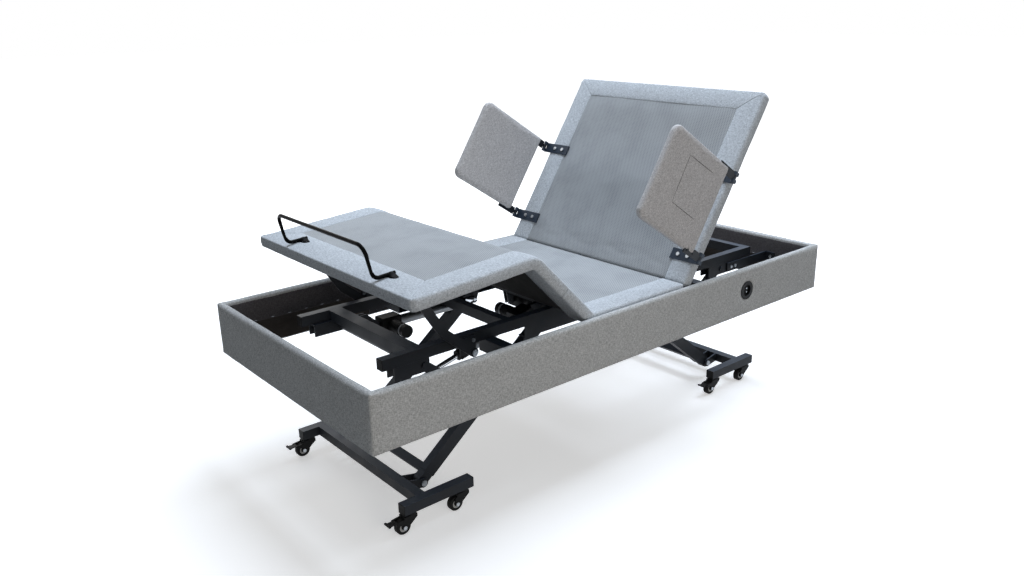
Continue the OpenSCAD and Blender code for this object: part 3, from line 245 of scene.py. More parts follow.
@dataclass(frozen=True)
class SpacerMesh(Finish):
    """Polyester spacer mesh: knitted, heat-set, with staggered open cells.

    The eye gets a silvery blue-grey with a fine diamond pattern of darker open cells, whose
    darkness is painted shade, and a faint synthetic sheen.
    """

    face: str = "#a9acae"
    # the open cells' darker colour: painted shade seen through the holes
    cell_shade: str = "#50555a"
    across_mm: float = 7.6  # cells of about 3 mm, drawn coarser so that they show
    along_mm: float = 11.0

    def shade(self, sh: Shader) -> bpy.types.Node:
        """Sets staggered cells in the cloth's own plane.

        Args:
            sh: The node tree of the material.

        Returns:
            The surface shader node.
        """
        lay = sh.add("UVMap", uv_map="lay")
        sides = sh.add("SeparateXYZ", {0: lay})
        turns = [
            sh.add(
                "Math", {0: sides.outputs[i], 1: 2 * math.pi * 1000 / pitch}, operation="MULTIPLY",
            )
            for i, pitch in ((0, self.across_mm), (1, self.along_mm))
        ]
        lattice = [
            sh.add(
                "Math", {0: sh.add("Math", {0: turns[0], 1: turns[1]}, operation=kind)},
                operation="COSINE",
            )
            for kind in ("ADD", "SUBTRACT")
        ]
        depth = sh.add("Math", {0: lattice[0], 1: lattice[1]}, operation="ADD")
        hole = sh.add("MapRange", {0: depth, 1: 0.0, 2: 1.2})
        drift = sh.add(
            "TexNoise", {"Vector": lay, "Scale": 9.0, "Detail": 4.0}, noise_dimensions="2D",
        )
        tone = sh.add("MapRange", {0: drift.outputs[0], 1: 0.3, 2: 0.7, 3: -0.06, 4: 0.1})
        factor = sh.add("Math", {0: hole, 1: 0.68, 2: tone}, operation="MULTIPLY_ADD")
        # The open cells take the darker colour: painted shade in the holes.
        colour = sh.add(
            "Mix", {0: factor, 6: linear(self.face), 7: linear(self.cell_shade)}, data_type="RGBA",
        )
        rise = sh.add("Math", {0: 1.0, 1: hole}, operation="SUBTRACT")
        bump = sh.add("Bump", {"Height": rise, "Strength": 0.3, "Distance": 0.0008})
        return sh.add("BsdfPrincipled", {
            "Base Color": colour.outputs[2], "Roughness": 0.6, "Specular IOR Level": 0.12,
            "Sheen Weight": 0.15, "Sheen Roughness": 0.4, "Sheen Tint": linear("#d6e0ea"),
            "Normal": bump,
        })


@dataclass(frozen=True)
class PowderCoat(Finish):
    """Mild steel tube, powder-coated and baked.

    The eye gets a satin blue-black with a faint orange-peel skin. Its top faces are painted
    paler and bluer: painted light from above, with some settled dust.
    """

    colour: str = "#16191e"
    worn: str = "#1d2229"
    # top: colour of the upward faces, painted light from above with some settled dust
    top: str = "#3a4452"
    roughness: float = 0.5
    peel_mm: float = 1.6

    def shade(self, sh: Shader) -> bpy.types.Node:
        """Adds the powder's skin and paler tops: painted light from above, with some dust.

        Args:
            sh: The node tree of the material.

        Returns:
            The surface shader node.
        """
        spot = sh.add("TexCoord")
        peel = sh.add(
            "TexNoise",
            {"Vector": spot.outputs["Object"], "Scale": 1000 / self.peel_mm / 2, "Detail": 1.0},
        )
        cloud = sh.add(
            "TexNoise",
            {"Vector": spot.outputs["Object"], "Scale": 14.0, "Detail": 5.0},
        )
        patch = sh.add("MapRange", {0: cloud.outputs[0], 1: 0.35, 2: 0.75})
        base = sh.add(
            "Mix", {0: patch, 6: linear(self.colour), 7: linear(self.worn)}, data_type="RGBA",
        )
        # Upward faces take the paler top colour: painted light from above, with some settled dust.
        facing = sh.add("SeparateXYZ", {0: spot.outputs["Normal"]})
        up = sh.add("MapRange", {0: facing.outputs[2], 1: 0.55, 2: 0.98, 3: 0.0, 4: 0.75})
        colour = sh.add("Mix", {0: up, 6: base.outputs[2], 7: linear(self.top)}, data_type="RGBA")
        low, high = self.roughness - 0.06, self.roughness + 0.08
        rough = sh.add("MapRange", {0: cloud.outputs[0], 1: 0.3, 2: 0.7, 3: low, 4: high})
        bump = sh.add("Bump", {"Height": peel.outputs[0], "Strength": 0.12, "Distance": 0.0004})
        return sh.add("BsdfPrincipled", {
            "Base Color": colour.outputs[2], "Roughness": rough, "Specular IOR Level": 0.22,
            "Normal": bump,
        })


@dataclass(frozen=True)
class PlatedMetal(Finish):
    """Metal with its own face: zinc-plated, chromed or anodised, as its values say.

    The eye gets a bright metal whose gloss breaks up along the way it was worked.
    """

    colour: str = "#c9ced4"
    stain: str = "#9aa1a8"
    roughness: float = 0.28
    metallic: float = 1.0
    grain: tuple[float, float, float] = (300.0, 300.0, 300.0)

    def shade(self, sh: Shader) -> bpy.types.Node:
        """Mottles the plating and roughens it along the grain.

        Args:
            sh: The node tree of the material.

        Returns:
            The surface shader node.
        """
        spot = sh.add("TexCoord")
        stretched = sh.add(
            "VectorMath", {0: spot.outputs["Object"], 1: self.grain}, operation="MULTIPLY",
        )
        mottle = sh.add("TexNoise", {"Vector": stretched, "Scale": 1.0, "Detail": 3.0})
        part = sh.add("MapRange", {0: mottle.outputs[0], 1: 0.35, 2: 0.7})
        colour = sh.add(
            "Mix", {0: part, 6: linear(self.colour), 7: linear(self.stain)}, data_type="RGBA",
        )
        low, high = self.roughness * 0.8, self.roughness * 1.4
        rough = sh.add("MapRange", {0: mottle.outputs[0], 1: 0.3, 2: 0.7, 3: low, 4: high})
        bump = sh.add("Bump", {"Height": mottle.outputs[0], "Strength": 0.06, "Distance": 0.0002})
        return sh.add("BsdfPrincipled", {
            "Base Color": colour.outputs[2], "Metallic": self.metallic, "Roughness": rough,
            "Normal": bump,
        })


@dataclass(frozen=True)
class MouldedNylon(Finish):
    """Glass-filled nylon or rubber, injection-moulded with a spark-eroded grain.

    The eye gets a dull black with a fine pebble and slightly greyer rubbed patches.
    """

    colour: str = "#0f1011"
    rubbed: str = "#1b1c1e"
    roughness: float = 0.5
    grain_mm: float = 0.9
    gloss: float = 0.12

    def shade(self, sh: Shader) -> bpy.types.Node:
        """Adds the mould's grain and the rubbed patches.

        Args:
            sh: The node tree of the material.

        Returns:
            The surface shader node.
        """
        spot = sh.add("TexCoord")
        pebble = sh.add(
            "TexVoronoi",
            {"Vector": spot.outputs["Object"], "Scale": 1000 / self.grain_mm},
        )
        cloud = sh.add(
            "TexNoise", {"Vector": spot.outputs["Object"], "Scale": 40.0, "Detail": 4.0}
        )
        patch = sh.add("MapRange", {0: cloud.outputs[0], 1: 0.45, 2: 0.75, 3: 0.0, 4: 0.8})
        colour = sh.add(
            "Mix", {0: patch, 6: linear(self.colour), 7: linear(self.rubbed)}, data_type="RGBA",
        )
        low, high = self.roughness - 0.07, self.roughness + 0.1
        rough = sh.add("MapRange", {0: cloud.outputs[0], 1: 0.3, 2: 0.7, 3: low, 4: high})
        bump = sh.add("Bump", {"Height": pebble.outputs[0], "Strength": 0.1, "Distance": 0.0003})
        return sh.add("BsdfPrincipled", {
            "Base Color": colour.outputs[2], "Roughness": rough, "Specular IOR Level": self.gloss,
            "Normal": bump,
        })


SURROUND_CLOTH = MelangeCloth("surround_melange_cloth")
DECK_CLOTH = MelangeCloth("deck_melange_cloth", light="#d9dee2", dark="#959a9f")
# Lighter and warmer than the deck cloth: painted light on the wings' faces.
WING_CLOTH = MelangeCloth("wing_melange_cloth", light="#dfdddc", dark="#999696")
DECK_MESH = SpacerMesh("deck_spacer_mesh")
FRAME_COAT = PowderCoat("frame_powder_coat")
# Its paler top colour, like the frame's, is painted light from above with some dust.
HINGE_COAT = PowderCoat(
    "hinge_blue_powder_coat", colour="#232c38", worn="#2f3b49", top="#3c4a5b", roughness=0.42
)
ZINC = PlatedMetal("bright_zinc_plate")
CHROME = PlatedMetal(
    "chromed_rod", colour="#dfe2e6", stain="#b9bec4", roughness=0.12, grain=(60.0, 900.0, 60.0)
)
ALUMINIUM = PlatedMetal(
    "anodised_aluminium_tube", colour="#8d9196", stain="#74787d", roughness=0.36,
    grain=(900.0, 30.0, 900.0),
)
NYLON = MouldedNylon("moulded_black_nylon")
TYRE = MouldedNylon(
    "tyre_rubber", colour="#141414", rubbed="#262626", roughness=0.62, grain_mm=1.4
)
RIM = MouldedNylon("moulded_grey_rim", colour="#c6c8c9", rubbed="#aeb0b1", roughness=0.42)
BAND = MouldedNylon("plain_foil_band", colour="#b9bcbf", rubbed="#9da1a5", roughness=0.35)
BAR_ENAMEL = MouldedNylon(
    "gloss_black_enamel", colour="#050506", rubbed="#08090a", roughness=0.22, gloss=0.03
)
# Black for the sheet under the thigh and for the wing's slit: painted shade.
SHADE_BLACK = MouldedNylon(
    "black_painted_shade_sheet", colour="#121212", rubbed="#1b1a1a", roughness=0.9, grain_mm=2.0
)
# The panels' own melange made dark: painted shade of the surround's inside.
PANEL_CLOTH = MelangeCloth("panel_lining_cloth", light="#656264", dark="#413e40")
# Dark board below the hems: painted shade of the surround's inside.
BOARD = MouldedNylon(
    "panel_board_shaded_dark", colour="#3d3936", rubbed="#4a4541", roughness=0.8, grain_mm=3.0
)


# ---------------------------------------------------------------- meshes


def points_of(mesh: bpy.types.Mesh, kind: str = "co") -> Array:
    """Reads the places of a mesh's vertices, or another of their vectors, as rows of three.

    Args:
        mesh: The mesh.
        kind: Name of the vector, its place unless said otherwise.

    Returns:
        One row for each vertex.
    """
    values = np.zeros(len(mesh.vertices) * 3, np.float32)
    mesh.vertices.foreach_get(kind, values)
    return values.reshape(-1, 3)


def set_points(mesh: bpy.types.Mesh, points: Array) -> None:
    """Moves the vertices of a mesh to new places in metres."""
    mesh.vertices.foreach_set("co", points.astype(np.float32).ravel())
    mesh.update()


def corners_in(mesh: bpy.types.Mesh) -> tuple[Array, Array, Array]:
    """Reads how the faces of a mesh use its vertices.

    Args:
        mesh: The mesh.

    Returns:
        The vertex at each face corner, each face's first corner and its corner count.
    """
    vertex = np.zeros(len(mesh.loops), np.int32)
    mesh.loops.foreach_get("vertex_index", vertex)
    starts = np.array([p.loop_start for p in mesh.polygons])
    return vertex, starts, np.array([p.loop_total for p in mesh.polygons])


def box_lay(obj: bpy.types.Object, flat: Array) -> None:
    """Lays the cloth's threads on a mesh: a UV map in metres from the cut, by each face's side.

    Args:
        obj: The mesh piece.
        flat: For each vertex, where it lies in the cut, as across, along and height in metres.
    """
    mesh = obj.data
    layer = mesh.uv_layers.get("lay") or mesh.uv_layers.new(name="lay")
    corner, first, totals = corners_in(mesh)
    owner = np.repeat(np.arange(len(mesh.polygons)), totals)
    a, b, c = (flat[corner[first + i]] for i in (0, 1, 2))
    normal = np.abs(np.cross(b - a, c - a))
    side = np.argmax(normal + np.array([0.0, 0.0, 1e-12]), axis=1)[owner]
    pairs = np.array([[1, 2], [0, 2], [0, 1]])[side]
    uv = np.take_along_axis(flat[corner], pairs, axis=1)
    layer.data.foreach_set("uv", uv.astype(np.float32).ravel())


def mesh_piece(
    name: str, points: Array, faces: Sequence[Sequence[int]], finish: Finish
) -> bpy.types.Object:
    """Makes a smooth-shaded mesh piece.

    Args:
        name: Name of the piece.
        points: Vertices in metres.
        faces: Vertex numbers of each face.
        finish: Its finish.

    Returns:
        The new object.
    """
    mesh = bpy.data.meshes.new(name)
    mesh.from_pydata([tuple(p) for p in points], [], [tuple(f) for f in faces])
    mesh.polygons.foreach_set("use_smooth", [True] * len(mesh.polygons))
    mesh.materials.append(finish.material())
    obj = bpy.data.objects.new(name, mesh)
    bpy.context.scene.collection.objects.link(obj)
    return obj


@dataclass
class Cover:
    """A closed cover in the making: rings of points, and the same rings in the cut.

    Attributes:
        rings: Rings in metres.
        flats: The same rings as cut, in metres.
    """

    rings: list[Array] = field(default_factory=list)
    flats: list[Array] = field(default_factory=list)

    def add(self, ring: Array, flat: Array | None = None) -> None:
        """Adds a ring in mm; one without a flat ring is cut as it stands."""
        self.rings.append(ring * MM)
        self.flats.append((ring if flat is None else flat) * MM)

    def mirror(self) -> None:
        """Completes half a cover with its mirror image, which shares the last ring."""
        flip = np.array([-1.0, 1.0, 1.0])
        for rows in (self.rings, self.flats):
            rows += [row * flip for row in rows[-2::-1]]

    def skin(self, name: str, finish: Finish) -> bpy.types.Object:
        """Stretches the cover over its rings and closes its two ends.

        Args:
            name: Name of the piece.
            finish: Its finish.

        Returns:
            The new object.
        """
        rings, flat = np.array(self.rings), np.array(self.flats)
        count, size = rings.shape[:2]
        points, lay = list(rings.reshape(-1, 3)), list(flat.reshape(-1, 3))
        faces: list[tuple[int, ...]] = [
            (
                i * size + k, i * size + (k + 1) % size, (i + 1) * size + (k + 1) % size,
                (i + 1) * size + k,
            )
            for i in range(count - 1)
            for k in range(size)
        ]
        for i in (0, count - 1):
            mid = len(points)
            points.append(rings[i].mean(0))
            lay.append(flat[i].mean(0))
            faces += [(i * size + k, i * size + (k + 1) % size, mid) for k in range(size)]
        obj = mesh_piece(name, np.array(points), faces, finish)
        work = bmesh.new()
        work.from_mesh(obj.data)
        bmesh.ops.recalc_face_normals(work, faces=work.faces)
        work.to_mesh(obj.data)
        work.free()
        box_lay(obj, np.array(lay))
        return obj


def cloth_sheet(name: str, rows: Array, flat: Array, finish: Finish) -> bpy.types.Object:
    """Makes an open cloth sheet over rows of points.

    Args:
        name: Name of the piece.
        rows: Rows by points by 3, in metres.
        flat: The same points in the cut.
        finish: Its finish.

    Returns:
        The new object.
    """
    count, size = rows.shape[:2]
    faces = [
        (i * size + k, i * size + k + 1, (i + 1) * size + k + 1, (i + 1) * size + k)
        for i in range(count - 1)
        for k in range(size - 1)
    ]
    obj = mesh_piece(name, rows.reshape(-1, 3), faces, finish)
    box_lay(obj, flat.reshape(-1, 3))
    return obj


def ripple(x: float, y: float, size_mm: float, seed: float = 0.0) -> float:
    """Smooth noise from -1 to 1 over a plane in mm, about one hump per size_mm."""
    return field_noise.noise(Vector((x / size_mm, y / size_mm, seed)))


def firm_rows(rings: int, profile: Array, stiff: Sequence[int] = ()) -> Array:
    """Says how firmly each point of a skin is held.

    Args:
        rings: Number of rings.
        profile: How firmly each point of a ring is held, from 0 to 1.
        stiff: Rings that are held as a whole, besides the first and last.

    Returns:
        One value for each vertex, with the two closing points.
    """
    held = np.tile(profile, (rings, 1))
    held[[0, rings - 1]] = 1.0
    held[list(stiff)] = 1.0
    return np.concatenate([held.ravel(), [1.0, 1.0]])


def swell(
    obj: bpy.types.Object, pressure: float, cap_mm: float, held: Array | None = None
) -> None:
    """Lets a cover fill with its padding: a cloth simulation whose result is kept in the mesh.

    Args:
        obj: The closed cover.
        pressure: Pressure of the padding.
        cap_mm: The furthest that a point may move.
        held: For each vertex, how firmly it is held, from 0 to 1.
    """
    scene = bpy.context.scene
    mesh = obj.data
    before = points_of(mesh)
    cloth = obj.modifiers.new("swell", "CLOTH")
    if held is not None:
        group = obj.vertex_groups.new(name="held")
        for level in np.unique(np.round(held, 1)):
            if level > 0:
                group.add(
                    [int(i) for i in np.nonzero(np.round(held, 1) == level)[0]], float(level),
                    "REPLACE",
                )
        cloth.settings.vertex_group_mass = "held"
    cloth.settings.quality = 5
    cloth.settings.mass = 0.3
    cloth.settings.tension_stiffness = 20.0
    cloth.settings.compression_stiffness = 12.0
    cloth.settings.bending_stiffness = 0.6
    cloth.settings.use_pressure = True
    cloth.settings.uniform_pressure_force = pressure
    cloth.settings.effector_weights.gravity = 0.0
    cloth.collision_settings.use_collision = False
    cloth.point_cache.frame_start = 1
    cloth.point_cache.frame_end = SWELL_FRAMES
    for step in range(1, SWELL_FRAMES + 1):
        scene.frame_set(step)
    graph = bpy.context.evaluated_depsgraph_get()
    move = points_of(obj.evaluated_get(graph).data) - before
    obj.modifiers.remove(cloth)
    scene.frame_set(1)
    far = np.linalg.norm(move, axis=1, keepdims=True)
    move *= np.minimum(1.0, cap_mm * MM / np.maximum(far, 1e-9))
    set_points(mesh, before + move)


def keep_shape(obj: bpy.types.Object) -> None:
    """Keeps what a piece's modifiers make as its own smooth mesh.

    Args:
        obj: The piece.
    """
    finish = obj.data.materials[0]
    made = bpy.data.meshes.new_from_object(
        obj.evaluated_get(bpy.context.evaluated_depsgraph_get())
    )
    obj.modifiers.clear()
    obj.data = made
    if not made.materials:
        made.materials.append(finish)
    made.polygons.foreach_set("use_smooth", [True] * len(made.polygons))


def close_remesh(obj: bpy.types.Object, voxel_mm: float) -> None:
    """Rebuilds a closed mesh from voxels, so that its cover can swell evenly.

    Args:
        obj: The piece.
        voxel_mm: Size of the voxels.
    """
    remesh = obj.modifiers.new("even", "REMESH")
    remesh.mode = "VOXEL"
    remesh.voxel_size = voxel_mm * MM
    keep_shape(obj)


# ---------------------------------------------------------------- the deck's geometry


@dataclass(frozen=True)
class Section:
    """A deck section seen from the side, in mm: s runs along it and n stands on it.

    Attributes:
        body: The body that carries it.
        y: Where s and n are zero, along the bed.
        z: Where s and n are zero, above the floor.
        turn: Angle above flat in degrees, going along the section.
        way: 1 if it runs to the head, -1 if it runs to the foot.
        length: Its length.
    """

    body: str
    y: float
    z: float
    turn: float
    way: int
    length: float

    def side(self, s: float, n: float) -> Spot:
        """Returns y and z of a point at s and n."""
        c, k = math.cos(math.radians(self.turn)), math.sin(math.radians(self.turn))
        return self.y + self.way * (s * c - n * k), self.z + s * k + n * c

    def local(self, y: Array | float, z: Array | float) -> tuple[Array | float, Array | float]:
        """Turns points of the side view to the section.

        Args:
            y: Places along the bed.
            z: Heights above the floor.

        Returns:
            Their s and n.
        """
        c, k = math.cos(math.radians(self.turn)), math.sin(math.radians(self.turn))
        dy, dz = self.way * (y - self.y), z - self.z
        return dy * c + dz * k, dz * c - dy * k

    def point(self, x: float, s: float, n: float) -> tuple[float, float, float]:
        """Returns the world point in mm at x, s and n."""
        return (x, *self.side(s, n))


@dataclass(frozen=True)
class Station:
    """One cross-section of a padded side: where its top and underside lie in the side view."""

    top: Spot
    low: Spot
    run: float
    width: float


def arc(x: float, y: float, r: float, sweep: tuple[float, float], steps: int) -> list[Spot]:
    """Points on an arc round x and y, from one angle in degrees to another.

    Args:
        x: Middle of the arc.
        y: Middle of the arc.
        r: Its radius.
        sweep: Angles of its two ends.
        steps: Number of its parts.

    Returns:
        Its points, with both ends.
    """
    return [
        (x + r * math.cos(t), y + r * math.sin(t))
        for t in np.radians(np.linspace(sweep[0], sweep[1], steps + 1)).tolist()
    ]


@dataclass(frozen=True)
class PadShape:
    """Sizes of the padded border in mm, as on the frame's soft solids."""

    inner_x: float = 369.0
    outer_x: float = 461.0
    top_n: float = 14.0
    low_n: float = -26.0
    mesh_n: float = 12.6
    rail_n: float = 8.9  # the lowest that the mesh may sag, just over the rails
    edge_r: float = 11.5
    end_edge_r: float = 6.0
    low_r: float = 11.0
    corner_r: float = 17.0
    crown: float = 2.2

    @property
    def body(self) -> float:
        """Width of the padded body."""
        return self.outer_x - self.inner_x

    def profile(self, width: float, tuck: float = 0.0, edge: float = 0.0) -> Array:
        """The closed outline of the border in its cross-section.

        Args:
            width: Width of the cloth on top, from the outer edge to the mesh seam.
            tuck: How far the outline is drawn in all round, near a rounded end.
            edge: Radius of the upper edge, when it is not the usual one.

        Returns:
            Points of distance from the body's inner edge and height n.
        """
        w, top, low = self.body, self.top_n, self.low_n
        edge_r = edge or self.edge_r
        seam = w - width
        pts: list[Spot] = []
        for i in range(6):
            pts.append((2 + (w - self.low_r - 2) * i / 5, low - 0.8 * math.sin(math.pi * i / 5)))
        pts += arc(w - self.low_r, low + self.low_r, self.low_r, (-90, 0), 5)[1:]
        pts += [(w + 0.8, low + 16), (w + 1.1, top - 21), (w + 0.8, top - 17)]
        pts += arc(w - edge_r, top - edge_r, edge_r, (0, 90), 7)[1:]
        reach = w - edge_r - seam - 3
        for i in range(1, 9):
            t = i / 9
            pts.append((w - edge_r - reach * t, top + self.crown * math.sin(math.pi * t) ** 0.8))
        pts += [
            (seam + 2.4, top - 0.1), (seam + 1.0, top - 0.7), (seam + 0.2, top - 1.8),
            (seam + 0.4, top - 3.2), (0.2, 9.4), (0.0, 8.6), (0.0, -6.0), (0.2, low + 3),
        ]
        out = np.array(pts)
        if tuck > 0:
            out[:, 0] = np.clip(out[:, 0], min(tuck, seam + tuck), w - tuck)
            out[:, 1] = np.clip(out[:, 1], low + tuck, top + self.crown - tuck * 1.1)
        return out

    def firm(self) -> Array:
        """Says how firmly the outline is held while the cover swells.

        Returns:
            One value from 0 to 1 for each point.
        """
        held = np.zeros(len(self.profile(self.body)))
        held[:9] = 1.0
        held[9:12] = 0.6
        held[15:19] = 0.75
        held[-8:] = 1.0
        return held


PAD = PadShape()


def fillet(
    a: Section, b: Section, n: float, reach: float, radius: float, steps: int
) -> list[Spot]:
    """Joins two sections at one height by a rounded bend in the side view.

    Args:
        a: Section that the path comes along, towards its hinge.
        b: Section that the path leaves along, away from the shared hinge.
        n: Height of the path on both.
        reach: How far from the hinge the bend's stretch starts and ends, in mm.
        radius: Radius of the bend.
        steps: Number of points.

    Returns:
        Points in y and z, evenly spaced, with both ends.
    """
    pa, pa2 = np.array(a.side(reach, n)), np.array(a.side(reach - 1, n))
    end = b.length - reach if b.way == a.way else reach
    pb = np.array(b.side(end, n))
    pb2 = np.array(b.side(end + 1 if b.way == a.way else end - 1, n))
    da, db = pa2 - pa, pb2 - pb
    cross = da[0] * db[1] - da[1] * db[0]
    ta = ((pb - pa)[0] * db[1] - (pb - pa)[1] * db[0]) / cross
    tip = pa + da * ta
    far_a, far_b = np.linalg.norm(pa - tip), np.linalg.norm(pb - tip)
    ua, ub = (pa - tip) / far_a, (pb - tip) / far_b
    half = math.acos(max(-1.0, min(1.0, float(ua @ ub)))) / 2
    cutoff = min(radius / math.tan(half), 0.95 * far_a, 0.95 * far_b)
    r = cutoff * math.tan(half)
    centre = tip + (ua + ub) / np.linalg.norm(ua + ub) * (r / math.sin(half))
    e0, e1 = tip + ua * cutoff - centre, tip + ub * cutoff - centre
    sweep = math.atan2(e0[0] * e1[1] - e0[1] * e1[0], float(e0 @ e1))
    path = [pa]
    for i in range(41):
        t = sweep * i / 40
        c, k = math.cos(t), math.sin(t)
        path.append(centre + np.array([e0[0] * c - e0[1] * k, e0[0] * k + e0[1] * c]))
    path.append(pb)
    line = np.array(path)
    along = np.concatenate([[0], np.cumsum(np.linalg.norm(np.diff(line, axis=0), axis=1))])
    want = np.linspace(0, along[-1], steps)
    return [
        (float(np.interp(w, along, line[:, 0])), float(np.interp(w, along, line[:, 1])))
        for w in want
    ]


@dataclass
class Deck:
    """The four deck sections and the soft covers on them, sizes in mm."""

    frame: dict
    back: Section = field(init=False)
    seat: Section = field(init=False)
    thigh: Section = field(init=False)
    calf: Section = field(init=False)
    bend: float = 46.0
    bend_steps: int = 19
    gap: float = 4.0  # from the back's hinge to the borders on both sides of it
    end_r: float = 14.0  # radius of their rounded ends

    def __post_init__(self) -> None:
        """Reads the hinges and the rest angles from the record."""
        joints = {j["name"]: j for j in self.frame["joints"]}
        ratio = next(
            c["ratio"]
            for c in self.frame["record"]["behaviour"]["couplings"]
            if c["joint"] == "knee"
        )
        lift = -joints["thigh_lift"]["range_deg"][0]
        lean = -joints["back_tilt"]["range_deg"][0]
        slope = lift * (ratio - 1)
        hy, hz = (1000 * v for v in joints["back_tilt"]["pos_m"][1:])
        ty, tz = (1000 * v for v in joints["thigh_lift"]["pos_m"][1:])
        ky, kz = (1000 * v for v in joints["knee"]["pos_m"][1:])
        knee_n = -12.0
        c, k = math.cos(math.radians(slope)), math.sin(math.radians(slope))
        self.back = Section("back", hy, hz, lean, 1, 748.0)
        self.seat = Section("chassis", ty, tz, 0.0, 1, hy - ty)
        self.thigh = Section("thigh", ty, tz, lift, -1, 327.0)
        self.calf = Section("calf", ky + knee_n * k, kz - knee_n * c, -slope, -1, 437.0)

    def knee_path(self, n: float, radius: float, steps: int) -> list[Spot]:
        """Path over the knee at height n, from the calf to the thigh."""
        return fillet(self.calf, self.thigh, n, self.bend, radius, steps)

    def fold_path(self, n: float, radius: float, steps: int) -> list[Spot]:
        """Path through the thigh's fold at height n, from the thigh to the seat."""
        return fillet(self.thigh, self.seat, n, self.bend, radius, steps)

    @staticmethod
    def straight(section: Section, s: float, run: float, width: float) -> Station:
        """Returns the station of a straight stretch at s."""
        return Station(section.side(s, PAD.top_n), section.side(s, PAD.low_n), run, width)

    def calf_side(self, width: float) -> list[Station]:
        """Stations from the middle of the thigh, over the knee, to the calf.

        Args:
            width: Width of the cloth on top.

        Returns:
            The stations in order.
        """
        steps = self.bend_steps
        tops = self.knee_path(PAD.top_n, 74.0, steps)[::-1]
        lows = self.knee_path(PAD.low_n, 12.0, steps)[::-1]
        mid, near = self.thigh.length / 2, self.thigh.length - self.bend
        bend_run = self.bend * 2 + 12
        made = []
        for i in range(12):
            s = mid + (near - mid) * i / 12
            run = -(bend_run - self.bend + near - s)
            made.append(self.straight(self.thigh, s, run, width))
        for i in range(steps):
            run = self.bend - bend_run * (1 - i / (steps - 1))
            made.append(Station(tops[i], lows[i], run, width))
        return made

    def seat_side(self, width: float, seat_width: float) -> list[Station]:
        """Stations from the middle of the thigh, down to the seat and along it to the back.

        Args:
            width: Width of the cloth on top of the thigh.
            seat_width: The same on the seat.

        Returns:
            The stations in order.
        """
        steps = self.bend_steps
        tops = self.fold_path(PAD.top_n, 16.0, steps)
        lows = self.fold_path(PAD.low_n, 44.0, steps)
        mid, last = self.thigh.length / 2, self.seat.length - self.gap - self.end_r
        bend_run = self.bend * 2 - 8
        made = []
        for i in range(12):
            s = mid + (self.bend - mid) * i / 12
            made.append(self.straight(self.thigh, s, -s, width))
        for i in range(steps):
            t = i / (steps - 1)
            across = width + (seat_width - width) * t
            made.append(Station(tops[i], lows[i], -self.bend + bend_run * t, across))
        for i in range(1, 41):
            s = self.bend + (last - self.bend) * i / 40
            made.append(self.straight(self.seat, s, s - 8, seat_width))
        return made


def side_ring(st: Station, sign: int, outline: Array, shift: float = 0.0) -> tuple[Array, Array]:
    """Places an outline at a station of a side border.

    Args:
        st: The station.
        sign: 1 on the right, -1 on the left.
        outline: Points of distance from the body's inner edge and height n, in mm.
        shift: Distance along the seat that the ring is moved, in mm.

    Returns:
        The ring and the same ring in the cut, in mm.
    """
    h = (outline[:, 1] - PAD.low_n) / (PAD.top_n - PAD.low_n)
    low, top = np.array(st.low), np.array(st.top)
    yz = low + (top - low) * h[:, None]
    x = sign * (PAD.inner_x + outline[:, 0])
    ring = np.column_stack([x, yz[:, 0] + shift, yz[:, 1]])
    return ring, np.column_stack([x, np.full(len(x), st.run + shift), outline[:, 1]])


